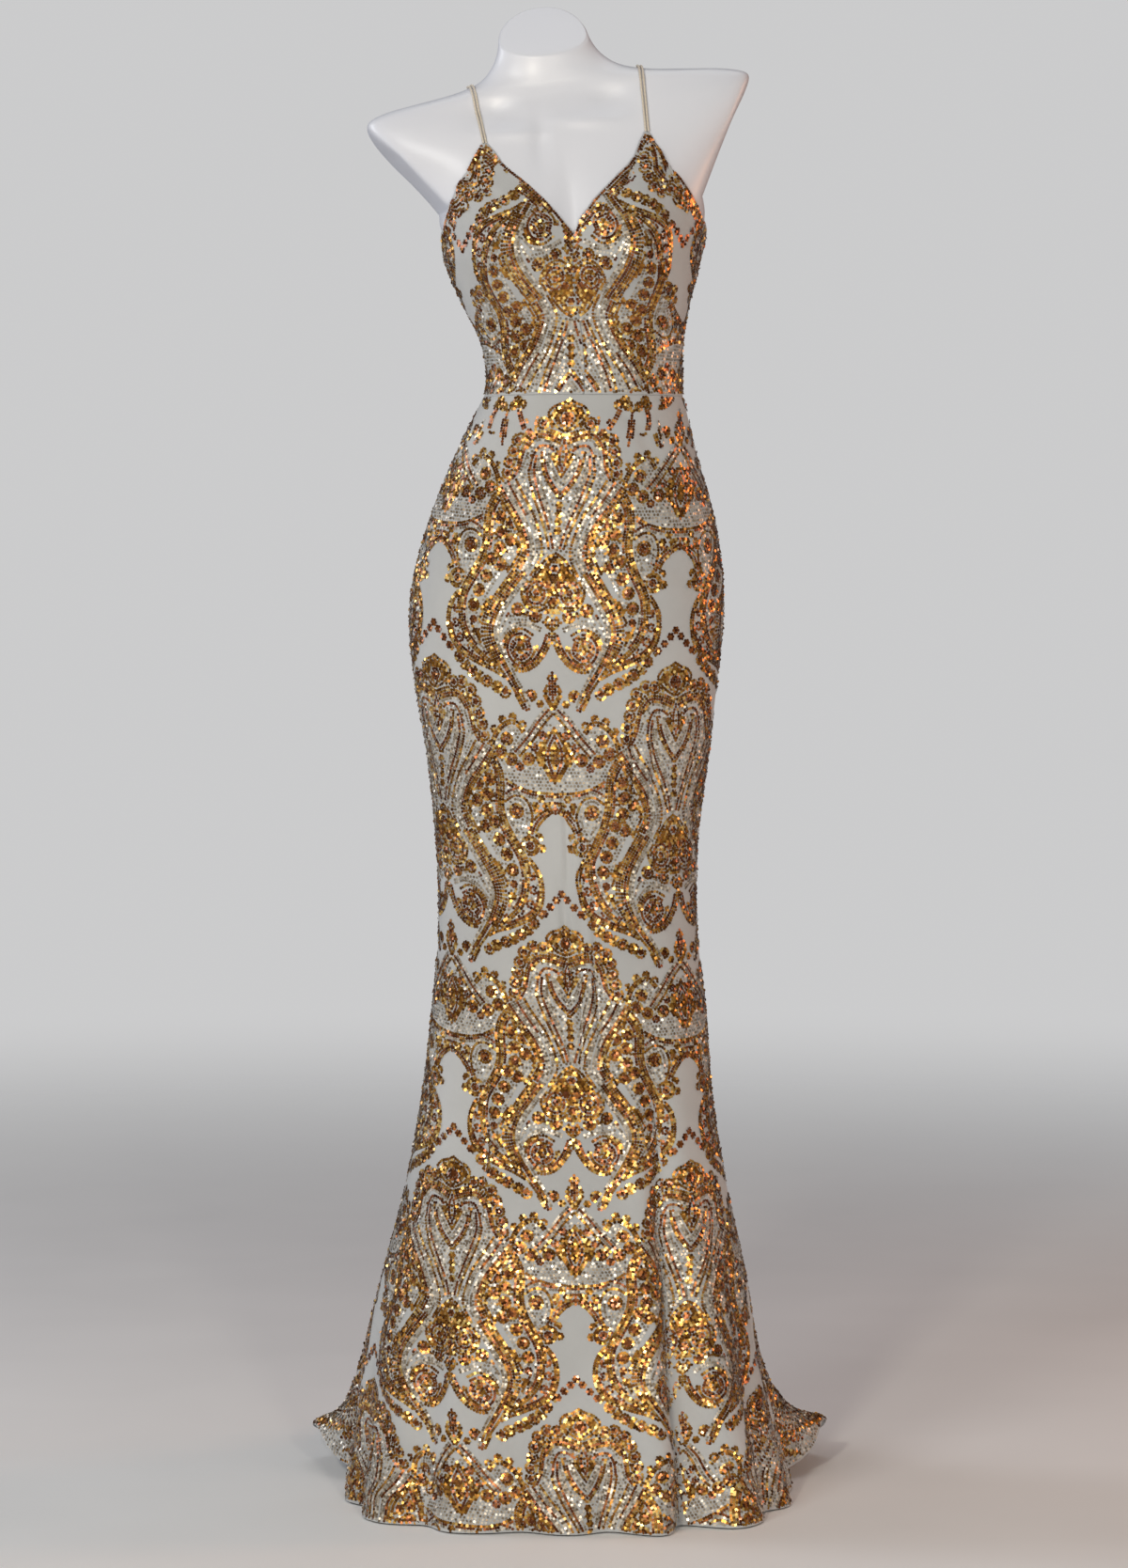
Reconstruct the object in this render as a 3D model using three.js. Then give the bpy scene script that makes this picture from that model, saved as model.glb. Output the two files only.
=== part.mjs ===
// A floor-length evening gown with thin shoulder cords, a V neck, a waist seam and a short train,
// worn by a smooth limbless dress form on a pole and a round base plate.
// Millimetres, +Z up. The gown's front faces -Y, and the origin is the middle of the base plate's
// underside, on the floor. "left" and "right" are as seen by somebody who faces the gown.
import * as THREE from "three";

// ---------------------------------------------------------------- driving dimensions
const CLOTH = 2.0; // thickness of the net with its stitched-on ornament
const SEAM_GAP = 0.3; // between two pieces where they are sewn together
const FORM_CLEARANCE = 2.6; // between the cloth's inside and the form
const WAIST_SEAM = 1145; // height of the seam that joins bodice and skirt
const SHOULDER_TILT = 0.13; // rise of the shoulder line for each millimetre to the right
const TILT_FROM = 1250; // height where the trunk starts to tilt
const TILT_TO = 1450; // height where the full tilt is reached
const CORD_RADIUS = 1.1; // rouleau shoulder cord
const CORD_STEPS = 32; // lengths of a cord's tube
const CORD_LIE = 1.3; // between a cord and the form's skin
const FORM_END = 800; // height of the form's flat underside
const FORM_STEP = 6; // degrees between the form's facets over the bust, twice that elsewhere
const POLE_RADIUS = 14;
const COLLAR = { radius: 42, height: 18 };
const BASE = { radius: 140, height: 12, edge: 4 };
const FLOOR_CLEARANCE = 0.25; // the cloth's lowest points above the floor

// ---------------------------------------------------------------- section tables
function table(names, rows) {
  return rows.map((row) => Object.fromEntries(names.map((name, i) => [name, row[i]])));
}

// The trunk over the cloth, from the waist seam up. z is the height of a section on its own middle
// line; middle is that line's x; front and back are its reach along -Y and +Y; square is the
// exponent of the section's outline, 2 for an ellipse and more for a squarer one.
const TRUNK = table(
  ["z", "middle", "halfWidth", "front", "back", "square"],
  [
    [800, 5, 150, 95, 98, 2.1],
    [855, 2, 158, 97, 108, 2.1],
    [933, 3, 163, 97, 121, 2.1],
    [1011, 8, 150, 93, 108, 2.1],
    [1089, 13, 124, 88, 84, 2.1],
    [1145, 20, 104, 82, 68, 2.1],
    [1172, 21, 102, 80, 67, 2.1],
    [1206, 18, 106, 81, 72, 2.1],
    [1244, 12, 119, 86, 82, 2.2],
    [1283, 9, 132, 90, 90, 2.2],
    [1312, 10, 138, 90, 94, 2.3],
    [1345, 6, 148, 83, 96, 2.4],
    [1380, 0, 168, 72, 94, 2.6],
    [1410, -5, 192, 61, 87, 2.8],
    [1435, -6, 208, 49, 77, 2.9],
    [1450, -7, 206, 41, 69, 2.7],
    [1459, -8, 180, 38, 63, 2.4],
    [1464, -10, 142, 37, 59, 2.2],
    [1468, -12, 110, 37, 56, 2.1],
    [1475, -14, 82, 37, 53, 2.0],
    [1486, -17, 65, 37, 50, 2.0],
    [1502, -20, 54, 38, 48, 2.0],
    [1522, -23, 49, 40, 47, 2.0],
    [1550, -25, 47, 42, 47, 2.0],
    [1585, -26, 47, 43, 47, 2.0],
  ],
);

// The bust's two cups, each a rounded rise of the front of the trunk.
// setIn is how much flatter they are on a surface that lies a millimetre further in.
const BUST = { height: 1288, apart: 66, rise: 31, across: 38, above: 50, below: 32, setIn: 0.7 };

// The skirt's levels, from the waist seam to the hem. A level runs round the wearer: it is at
// frontZ from side to side across the front, and sinks to backZ at the centre back, where the
// lowest levels lie on the floor as the train. spread widens the train behind the side seams.
const SKIRT = table(
  ["level", "frontZ", "backZ", "middle", "halfWidth", "front", "back", "spread", "square"],
  [
    [0, 1145, 1145, 20, 104, 82, 68, 0, 2.1],
    [1, 1089, 1089, 13, 124, 88, 84, 0, 2.1],
    [2, 1011, 1011, 8, 150, 93, 108, 0, 2.1],
    [3, 933, 933, 3, 163, 97, 121, 0, 2.1],
    [4, 855, 855, 2, 158, 97, 108, 0, 2.1],
    [5, 777, 777, 4, 147, 94, 94, 0, 2.1],
    [6, 689, 689, 3, 137, 89, 86, 0, 2.1],
    [7, 600, 600, 4, 135, 87, 88, 0, 2.1],
    [8, 510, 500, 5, 143, 92, 100, 0, 2.2],
    [9, 411, 372, 3, 153, 103, 132, 0, 2.2],
    [10, 323, 245, 2, 168, 118, 185, 0, 2.3],
    [11, 234, 130, 0, 188, 141, 268, 4, 2.4],
    [12, 150, 52, -3, 204, 162, 370, 14, 2.5],
    [13, 76, 17, 1, 215, 180, 450, 30, 2.6],
    [14, 30, 4, 3, 224, 192, 505, 46, 2.7],
    [15, 1.4, 1.6, 5, 229, 198, 535, 56, 2.8],
  ],
);
const HEM_LEVEL = SKIRT.length - 1;
const SKIRT_ROWS = 21; // rows of facets from the waist seam to the hem

// Standing folds of the skirt. Each starts at level top, runs down from turnTop to turnHem (degrees
// round from the centre front, + to the right), is width degrees wide and depth deep at the hem,
// and lifts the hem off the floor by lift.
const FOLDS = table(
  ["top", "turnTop", "turnHem", "width", "depth", "lift"],
  [
    [7.0, 51, 35, 6.2, 26, 0],
    [9.6, 71, 62, 6.0, 13, 0],
    [11.4, 15, 12, 6.5, 8, 0],
    [10.4, -18, -14, 7.0, 7, 0],
    [9.0, -48, -42, 6.0, 12, 0],
    [10.2, -74, -68, 6.0, 12, 0],
    [8.6, 98, 100, 5.0, 15, 4],
    [12.2, 113, 114, 6.0, 0, 46],
    [8.2, 130, 128, 6.0, 24, 10],
    [8.8, 153, 150, 6.5, 22, 13],
    [9.2, 173, 171, 5.5, 14, 8],
    [8.9, -101, -99, 5.0, 14, 5],
    [12.2, -112, -112, 6.0, 0, 42],
    [9.0, -127, -125, 5.5, 20, 18],
    [8.4, -147, -145, 6.5, 25, 9],
    [9.4, -168, -166, 6.0, 17, 12],
  ],
);

// The top edge of each bodice front, from the centre-front notch over the cup's point, where the
// cords are sewn, and down the armhole. share is how far round the waist the strip below starts.
const FRONT_EDGE_NAMES = ["share", "x", "z"];
const LEFT_EDGE = table(FRONT_EDGE_NAMES, [
  [0.0, 7, 1306],
  [0.1, -1, 1319],
  [0.2, -17, 1338],
  [0.3, -38, 1358],
  [0.38, -62, 1377],
  [0.44, -77, 1400],
  [0.48, -84, 1400],
  [0.58, -97, 1377],
  [0.69, -111, 1354],
  [0.8, -119, 1333],
  [0.9, -124, 1316],
  [1.0, -127, 1304],
]);
const RIGHT_EDGE = table(FRONT_EDGE_NAMES, [
  [0.0, 7, 1306],
  [0.1, 16, 1322],
  [0.2, 31, 1342],
  [0.3, 51, 1363],
  [0.38, 71, 1383],
  [0.44, 81, 1412],
  [0.48, 88, 1412],
  [0.58, 101, 1386],
  [0.69, 120, 1364],
  [0.8, 134, 1344],
  [0.9, 142, 1327],
  [1.0, 148, 1311],
]);

// The top edge of the bodice back, from the side seam to the centre back.
const BACK_EDGE = table(
  ["share", "left", "right"],
  [
    [0.0, 1304, 1311],
    [0.15, 1291, 1298],
    [0.35, 1279, 1284],
    [0.55, 1272, 1275],
    [0.75, 1264, 1266],
    [1.0, 1258, 1258],
  ],
);
const CORD_BACK_SHARE = 0.5; // where along the back's edge the cords are sewn

// The form's cut ends: the arm stumps end on slanted planes, and so does the neck.
const ARM_CUT = {
  left: { x: -124, z: 1342, outward: -0.736, turned: -0.19 },
  right: { x: 141, z: 1339, outward: 0.464, turned: 0 },
};
const NECK_CUT = { x: -24, z: 1520, slopeBack: 0.66, slopeRight: 0.1 };

// ---------------------------------------------------------------- colours
const finish = (color, roughness, metalness = 0) =>
  new THREE.MeshStandardMaterial({ color, roughness, metalness });
const NET = finish(0xcfd0cf, 0.75);
const CORD = finish(0xd9cbb4, 0.6);
const SHELL_WHITE = finish(0xeeeef2, 0.2);
const STEEL = finish(0xb9bbbf, 0.3, 0.9);

// ---------------------------------------------------------------- small helpers
const radians = THREE.MathUtils.degToRad;
const mix = THREE.MathUtils.lerp;
const smooth = (t) => THREE.MathUtils.smoothstep(t, 0, 1);

// One column of a table, read smoothly between its rows.
function read(rows, key, at, name) {
  let i = 0;
  while (i < rows.length - 2 && rows[i + 1][key] <= at) i += 1;
  const slope = (k) => {
    const a = rows[Math.max(k - 1, 0)];
    const b = rows[Math.min(k + 1, rows.length - 1)];
    return (b[name] - a[name]) / (b[key] - a[key]);
  };
  const [a, b] = [rows[i], rows[i + 1]];
  const span = b[key] - a[key];
  const t = THREE.MathUtils.clamp((at - a[key]) / span, 0, 1);
  const s = 1 - t;
  return (
    a[name] * (1 + 2 * t) * s * s +
    b[name] * t * t * (3 - 2 * t) +
    span * (slope(i) * t * s * s - slope(i + 1) * t * t * s)
  );
}

// Reach of a section's outline from its middle, in the direction turn degrees from the front.
function reach(halfWidth, depth, square, turn) {
  const across = Math.abs(Math.sin(radians(turn))) / halfWidth;
  const along = Math.abs(Math.cos(radians(turn))) / depth;
  return (across ** square + along ** square) ** (-1 / square);
}

const tiltAt = (z) => SHOULDER_TILT * smooth((z - TILT_FROM) / (TILT_TO - TILT_FROM));

// How far the bust's cups stand out, x to the right of the trunk's middle.
function bust(x, z, rise) {
  const up = (z - BUST.height) / (z > BUST.height ? BUST.above : BUST.below);
  const out = (Math.abs(x) - BUST.apart) / BUST.across;
  return rise * Math.exp(-0.5 * (out * out + up * up));
}

// A point on the trunk's surface, set in by inset.
function trunkPoint(z, turn, inset) {
  const get = (name) => read(TRUNK, "z", z, name);
  const depth = Math.abs(turn) < 90 ? get("front") : get("back");
  const r = reach(get("halfWidth") - inset, depth - inset, get("square"), turn);
  const x = r * Math.sin(radians(turn));
  let y = -r * Math.cos(radians(turn));
  if (y < 0) y -= bust(x, z, BUST.rise - BUST.setIn * inset) * smooth(-y / 40);
  return new THREE.Vector3(get("middle") + x, y, z + tiltAt(z) * x);
}

// The section height and the direction at which the trunk's front passes through (x, z).
function trunkTurn(x, z) {
  let height = z;
  let turn = 0;
  for (let pass = 0; pass < 8; pass += 1) {
    let low = 0;
    let high = 90;
    const side = x < read(TRUNK, "z", height, "middle") ? -1 : 1;
    for (let step = 0; step < 24; step += 1) {
      turn = (low + high) / 2;
      const out = (trunkPoint(height, side * turn, 0).x - x) * side;
      if (out > 0) high = turn;
      else low = turn;
    }
    turn *= side;
    height = z - tiltAt(height) * (x - read(TRUNK, "z", height, "middle"));
  }
  return { height, turn };
}

// A point on the middle of the skirt's cloth.
function skirtPoint(level, turn) {
  const get = (name) => read(SKIRT, "level", level, name);
  const toBack = Math.max(0, -Math.cos(radians(turn)));
  const depth = toBack > 0 ? get("back") : get("front");
  const behind = smooth(toBack / 0.6);
  const halfWidth = get("halfWidth") + get("spread") * behind;
  const square = mix(get("square"), 2.1, behind);
  let r = reach(halfWidth - CLOTH / 2, depth - CLOTH / 2, square, turn);
  let lift = 0;
  for (const fold of FOLDS) {
    const down = (level - fold.top) / (HEM_LEVEL - fold.top);
    if (down <= 0) continue;
    const off = (turn - mix(fold.turnTop, fold.turnHem, down)) / fold.width;
    r -= fold.depth * smooth(down) * (1 - off * off) * Math.exp(-0.5 * off * off);
    lift += fold.lift * smooth((level - 12) / 3) * Math.exp(-0.5 * off * off);
  }
  const z = mix(get("frontZ"), get("backZ"), toBack ** 1.3) + lift;
  return new THREE.Vector3(
    get("middle") + r * Math.sin(radians(turn)),
    -r * Math.cos(radians(turn)),
    z,
  );
}

// A closed wall of cloth over a grid. surface(row, column) gives the middle of the cloth for any
// row and column, whole or not; flatRows are the rows whose edge is level, at a waist seam. gaps
// says which side edges are seams, and which column, if any, is the centre-front one.
function clothPanel(name, surface, rows, columns, flatRows, gaps) {
  const outer = [];
  const inner = [];
  const step = 0.02;
  for (let r = 0; r <= rows; r += 1) {
    for (let c = 0; c <= columns; c += 1) {
      const here = surface(r, c);
      const right = surface(r, c + step).sub(surface(r, c - step));
      const down = surface(Math.min(r + step, rows), c).sub(surface(Math.max(r - step, 0), c));
      const normal = right.clone().cross(down).normalize().negate();
      if (flatRows.includes(r)) normal.setZ(0).normalize();
      if (c === gaps.middle) normal.setX(0).normalize();
      right.normalize();
      if (c === 0 && gaps.first) here.addScaledVector(right, SEAM_GAP / 2);
      if (c === columns && gaps.last) here.addScaledVector(right, -SEAM_GAP / 2);
      const out = here.clone().addScaledVector(normal, CLOTH / 2);
      const back = here.clone().addScaledVector(normal, -CLOTH / 2);
      for (const point of [out, back]) point.z = Math.max(point.z, FLOOR_CLEARANCE);
      outer.push(out);
      inner.push(back);
    }
  }
  const points = [...outer, ...inner];
  const across = columns + 1;
  const under = outer.length;
  const at = (r, c) => r * across + c;
  const faces = [];
  const quad = (a, b, c, d) => faces.push(a, b, c, a, c, d);
  for (let r = 0; r < rows; r += 1) {
    for (let c = 0; c < columns; c += 1) {
      const [a, b, d, e] = [at(r, c), at(r + 1, c), at(r + 1, c + 1), at(r, c + 1)];
      quad(a, b, d, e);
      quad(a + under, e + under, d + under, b + under);
    }
  }
  for (let r = 0; r < rows; r += 1) {
    quad(at(r, 0), at(r, 0) + under, at(r + 1, 0) + under, at(r + 1, 0));
    quad(at(r, columns), at(r + 1, columns), at(r + 1, columns) + under, at(r, columns) + under);
  }
  for (let c = 0; c < columns; c += 1) {
    quad(at(0, c), at(0, c + 1), at(0, c + 1) + under, at(0, c) + under);
    quad(at(rows, c), at(rows, c) + under, at(rows, c + 1) + under, at(rows, c + 1));
  }
  return named(name, solid(points, faces), NET);
}

function solid(points, faces) {
  const geometry = new THREE.BufferGeometry().setFromPoints(points);
  geometry.setIndex(faces);
  geometry.computeVertexNormals();
  return geometry;
}

function named(name, geometry, material) {
  const mesh = new THREE.Mesh(geometry, material);
  mesh.name = name;
  return mesh;
}

// ---------------------------------------------------------------- the skirt
// Rows follow the levels; the first row is at the waist seam.
function skirtPanel(name, from, to, rows, columns) {
  const surface = (r, c) => {
    const point = skirtPoint((r / rows) * HEM_LEVEL, mix(from, to, c / columns));
    if (r === 0) point.z -= SEAM_GAP / 2;
    return point;
  };
  return clothPanel(name, surface, rows, columns, [0], { first: true, last: true });
}

// ---------------------------------------------------------------- the bodice
// A strip of the bodice starts at the waist seam, share of the way from the centre front to the
// side seam, and rises to its own place on the top edge.
function bodiceFront(name, edge, side) {
  const rows = 12;
  const columns = edge.length - 1;
  const tops = edge.map((row, i) =>
    i === columns ? { height: topAtSide(row, side), turn: side * 90 } : trunkTurn(row.x, row.z),
  );
  tops[0].turn = 0;
  const between = (c, pick) => {
    const i = THREE.MathUtils.clamp(Math.floor(c), 0, columns - 1);
    return mix(pick(i), pick(i + 1), THREE.MathUtils.clamp(c - i, 0, 1));
  };
  const surface = (r, c) => {
    const column = side > 0 ? c : columns - c;
    const rise = 1 - r / rows;
    const share = between(column, (i) => edge[i].share);
    const top = between(column, (i) => tops[i].height);
    const turnTop = between(column, (i) => tops[i].turn);
    const seam = WAIST_SEAM + (r === rows ? SEAM_GAP / 2 : 0);
    return trunkPoint(mix(seam, top, rise), mix(side * 90 * share, turnTop, rise), CLOTH / 2);
  };
  const middle = side > 0 ? 0 : columns;
  return clothPanel(name, surface, rows, columns, [rows], { first: true, last: true, middle });
}

// The section height at the side seam whose outline reaches the edge's last row.
function topAtSide(row, side) {
  return row.z - tiltAt(row.z) * side * read(TRUNK, "z", row.z, "halfWidth");
}

function bodiceBack(name, key, side) {
  const rows = 8;
  const columns = 9;
  const surface = (r, c) => {
    const share = side > 0 ? c / columns : 1 - c / columns;
    const rise = 1 - r / rows;
    const turn = side * mix(90, 180, share);
    const seam = WAIST_SEAM + (r === rows ? SEAM_GAP / 2 : 0);
    return trunkPoint(mix(seam, backTop(key, side, share), rise), turn, CLOTH / 2);
  };
  return clothPanel(name, surface, rows, columns, [rows], { first: true, last: true });
}

// The section height of the back's top edge.
function backTop(key, side, share) {
  const z = read(BACK_EDGE, "share", share, key);
  const out = read(TRUNK, "z", z, "halfWidth") * Math.sin(radians(mix(90, 180, share)));
  return z - tiltAt(z) * side * out;
}

// ---------------------------------------------------------------- the dress form
// The form's skin is the trunk set in by the cloth and its clearance, with the arm stumps and the
// neck cut off flat.
const FORM_INSET = CLOTH + FORM_CLEARANCE;

function cutBack(point) {
  const { left, right } = ARM_CUT;
  const tilt = tiltAt(point.z) * (point.x + 6);
  const height = point.z - tilt;
  const lowX = left.x + (height - left.z) * left.outward + left.turned * point.y;
  const highX = right.x + (height - right.z) * right.outward + right.turned * point.y;
  if (height > left.z) point.x = THREE.MathUtils.clamp(point.x, lowX, highX);
  const cap = NECK_CUT.z + NECK_CUT.slopeBack * point.y + NECK_CUT.slopeRight * (point.x - NECK_CUT.x);
  point.z = Math.min(point.z, cap);
  return point;
}

function dressForm() {
  const heights = [FORM_END, 870, 933, 990, 1040, 1089, 1117, 1145, 1172, 1206, 1230, 1250];
  heights.push(1266, 1280, 1292, 1306, 1322, 1340, 1360, 1380, 1395, 1410, 1424, 1435, 1444);
  heights.push(1451, 1457, 1461, 1465, 1470, 1477, 1487, 1503);
  const turns = [];
  for (let turn = -72; turn < 72; turn += FORM_STEP) turns.push(turn);
  for (let turn = 72; turn < 288; turn += 2 * FORM_STEP) turns.push(turn > 180 ? turn - 360 : turn);
  const around = turns.length;
  const points = [];
  for (const z of heights) {
    for (const turn of turns) points.push(cutBack(trunkPoint(z, turn, FORM_INSET)));
  }
  // The neck ends on its slanted cut: the last ring is where the neck's wall meets that plane.
  const neck = trunkPoint(1550, 0, FORM_INSET);
  for (const turn of turns) {
    const point = trunkPoint(1550, turn, FORM_INSET);
    point.z = NECK_CUT.z + NECK_CUT.slopeBack * point.y + NECK_CUT.slopeRight * (point.x - NECK_CUT.x);
    points.push(point);
  }
  const rings = heights.length + 1;
  const faces = [];
  for (let r = 0; r < rings - 1; r += 1) {
    for (let i = 0; i < around; i += 1) {
      const j = (i + 1) % around;
      const [a, b, c, d] = [r * around + i, r * around + j, (r + 1) * around + j, (r + 1) * around + i];
      faces.push(a, b, c, a, c, d);
    }
  }
  const bottom = points.push(new THREE.Vector3(0, 0, FORM_END)) - 1;
  const top = points.push(new THREE.Vector3(neck.x, 2, NECK_CUT.z + NECK_CUT.slopeBack * 2)) - 1;
  const last = (rings - 1) * around;
  for (let i = 0; i < around; i += 1) {
    const j = (i + 1) % around;
    faces.push(bottom, j, i);
    faces.push(top, last + i, last + j);
  }
  return named("dress_form", solid(points, faces), SHELL_WHITE);
}

// ---------------------------------------------------------------- the shoulder cords
// Whether a point is inside the form's skin.
function insideForm(x, y, z) {
  const middle = read(TRUNK, "z", z - tiltAt(z) * (x + 8), "middle");
  const out = x - middle;
  const height = z - tiltAt(z) * out;
  const get = (name) => read(TRUNK, "z", height, name);
  const cup = y < 0 ? bust(out, height, BUST.rise - BUST.setIn * FORM_INSET) * smooth(-y / 40) : 0;
  const turn = THREE.MathUtils.radToDeg(Math.atan2(out, -y - cup));
  const depth = (y < 0 ? get("front") : get("back")) - FORM_INSET;
  const skin = reach(get("halfWidth") - FORM_INSET, depth, get("square"), turn);
  return Math.hypot(out, y + cup) < skin;
}

// Distance from (x, 0, z) to the form's skin in the direction (0, forward, up).
function skinDistance(x, z, forward, up) {
  let low = 0;
  let high = 200;
  for (let step = 0; step < 30; step += 1) {
    const d = (low + high) / 2;
    if (insideForm(x, forward * d, z + up * d)) low = d;
    else high = d;
  }
  return low;
}

// A cord's middle line, on the form's skin, from the cup's point over the shoulder to the back.
function cordRoute(front, crest, back) {
  const lie = CORD_RADIUS + CORD_LIE;
  const pivot = crest.z - 46; // the route turns over the shoulder about this height
  const stops = [];
  for (let i = 0; i <= 4; i += 1) stops.push([mix(front.z, pivot, i / 4), 0, mix(0, 0.6, i / 4)]);
  for (let i = 1; i <= 10; i += 1) stops.push([pivot, i * 18, mix(0.6, 1.3, i / 10)]);
  for (let i = 1; i <= 9; i += 1) stops.push([mix(pivot, back.z, i / 9), 180, mix(1.3, 2, i / 9)]);
  const points = stops.map(([z, lift, along]) => {
    const x = along < 1 ? mix(front.x, crest.x, along) : mix(crest.x, back.x, along - 1);
    const [forward, up] = [-Math.cos(radians(lift)), Math.sin(radians(lift))];
    const d = skinDistance(x, z, forward, up) + lie;
    return new THREE.Vector3(x, forward * d, z + up * d);
  });
  return new THREE.CatmullRomCurve3(points, false, "centripetal");
}

function cord(name, front, crest, back) {
  const section = new THREE.Shape();
  const sides = 6;
  for (let i = 0; i < sides; i += 1) {
    const turn = (i / sides) * 2 * Math.PI;
    const [x, y] = [CORD_RADIUS * Math.cos(turn), CORD_RADIUS * Math.sin(turn)];
    if (i === 0) section.moveTo(x, y);
    else section.lineTo(x, y);
  }
  section.closePath();
  const options = { steps: CORD_STEPS, bevelEnabled: false, extrudePath: cordRoute(front, crest, back) };
  const geometry = new THREE.ExtrudeGeometry(section, options);
  return named(name, geometry, CORD);
}

// ---------------------------------------------------------------- the stand
function turned(name, profile, material) {
  const points = profile.map(([r, z]) => new THREE.Vector2(r, z));
  const geometry = new THREE.LatheGeometry(points, 32).rotateX(Math.PI / 2);
  return named(name, geometry, material);
}

function stand() {
  const { radius, height, edge } = BASE;
  const base = [[0, 0], [radius, 0], [radius, height - edge], [radius - edge, height], [0, height]];
  const poleFrom = height + SEAM_GAP;
  const collarTo = FORM_END - SEAM_GAP;
  const collarFrom = collarTo - COLLAR.height;
  const poleTo = collarFrom - SEAM_GAP;
  const pole = [[0, poleFrom], [POLE_RADIUS, poleFrom], [POLE_RADIUS, poleTo], [0, poleTo]];
  const wide = COLLAR.radius;
  const collar = [[0, collarFrom], [wide - 6, collarFrom], [wide, collarFrom + 6], [wide, collarTo]];
  collar.push([0, collarTo]);
  return [
    turned("stand_base", base, STEEL),
    turned("stand_pole", pole, STEEL),
    turned("stand_collar", collar, STEEL),
  ];
}

// ---------------------------------------------------------------- the cords' places
// Each pair of cords starts side by side on the cup's point and parts over the shoulder.
const CORDS = table(
  ["side", "tipX", "tipZ", "crestX", "crestZ"],
  [
    ["left", -80.5, 1400, -98, 1457],
    ["right", 84.5, 1412, 77, 1478],
  ],
);
const CORD_APART = { tip: 2.8, crest: 5.5, back: 2.8 };
const CORD_SEAT = 0.5; // between a cord's end and the edge it is sewn to

function cordPairs() {
  const made = [];
  for (const row of CORDS) {
    const side = row.side === "left" ? -1 : 1;
    const place = trunkPoint(
      backTop(row.side, side, CORD_BACK_SHARE),
      side * mix(90, 180, CORD_BACK_SHARE),
      FORM_INSET,
    );
    for (const [which, off] of [["inner", -0.5 * side], ["outer", 0.5 * side]]) {
      made.push(
        cord(
          `cord_${row.side}_${which}`,
          { x: row.tipX + off * CORD_APART.tip, z: row.tipZ + CORD_SEAT },
          { x: row.crestX + off * CORD_APART.crest, z: row.crestZ },
          { x: place.x + off * CORD_APART.back, z: place.z + CORD_SEAT + 0.5 },
        ),
      );
    }
  }
  return made;
}

// ---------------------------------------------------------------- the whole
const group = new THREE.Group();
group.add(
  bodiceFront("bodice_front_left", LEFT_EDGE, -1),
  bodiceFront("bodice_front_right", RIGHT_EDGE, 1),
  bodiceBack("bodice_back_left", "left", -1),
  bodiceBack("bodice_back_right", "right", 1),
  skirtPanel("skirt_front", -90, 90, SKIRT_ROWS, 34),
  skirtPanel("skirt_back_left", -180, -90, SKIRT_ROWS, 20),
  skirtPanel("skirt_back_right", 90, 180, SKIRT_ROWS, 20),
  ...cordPairs(),
  dressForm(),
  ...stand(),
);

export default group;
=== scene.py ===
# %% [markdown]
# # An evening gown of sequinned net on a dress form
# The gown is a stretch-net trumpet dress: a bodice of four panels, a skirt of three that runs out
# into a short train, and two pairs of thin shoulder cords. A damask of gold, bronze and clear
# sequins covers it. It is worn by a smooth white dress form on a pole.
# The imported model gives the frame: every piece below is placed in its axes, in metres, with +Z up
# and the gown's front towards -Y.

# %% Load the frame
import math

import bpy
import numpy as np
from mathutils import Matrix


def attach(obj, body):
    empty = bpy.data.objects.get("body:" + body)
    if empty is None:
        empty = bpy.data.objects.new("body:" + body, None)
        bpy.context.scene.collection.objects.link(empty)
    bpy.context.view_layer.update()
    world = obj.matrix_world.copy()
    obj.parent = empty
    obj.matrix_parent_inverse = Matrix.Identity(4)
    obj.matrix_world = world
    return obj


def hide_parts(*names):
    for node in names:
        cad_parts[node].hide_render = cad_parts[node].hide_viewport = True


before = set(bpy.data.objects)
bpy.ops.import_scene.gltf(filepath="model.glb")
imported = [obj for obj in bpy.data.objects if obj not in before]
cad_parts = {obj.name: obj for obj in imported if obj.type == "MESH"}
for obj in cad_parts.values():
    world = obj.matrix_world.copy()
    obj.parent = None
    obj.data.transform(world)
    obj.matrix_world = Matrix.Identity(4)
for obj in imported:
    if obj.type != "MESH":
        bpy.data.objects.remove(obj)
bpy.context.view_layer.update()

MM = 0.001
print("nodes:", sorted(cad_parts))

# %% [markdown]
# ## Section tables
# A dress is described as its cutter measures it: how wide and how deep it is at a few heights.
# A smooth curve through each column gives every height between. The numbers are in millimetres,
# and are the ones that the solid model was built from, so the fine cloth lies on its form.

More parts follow.
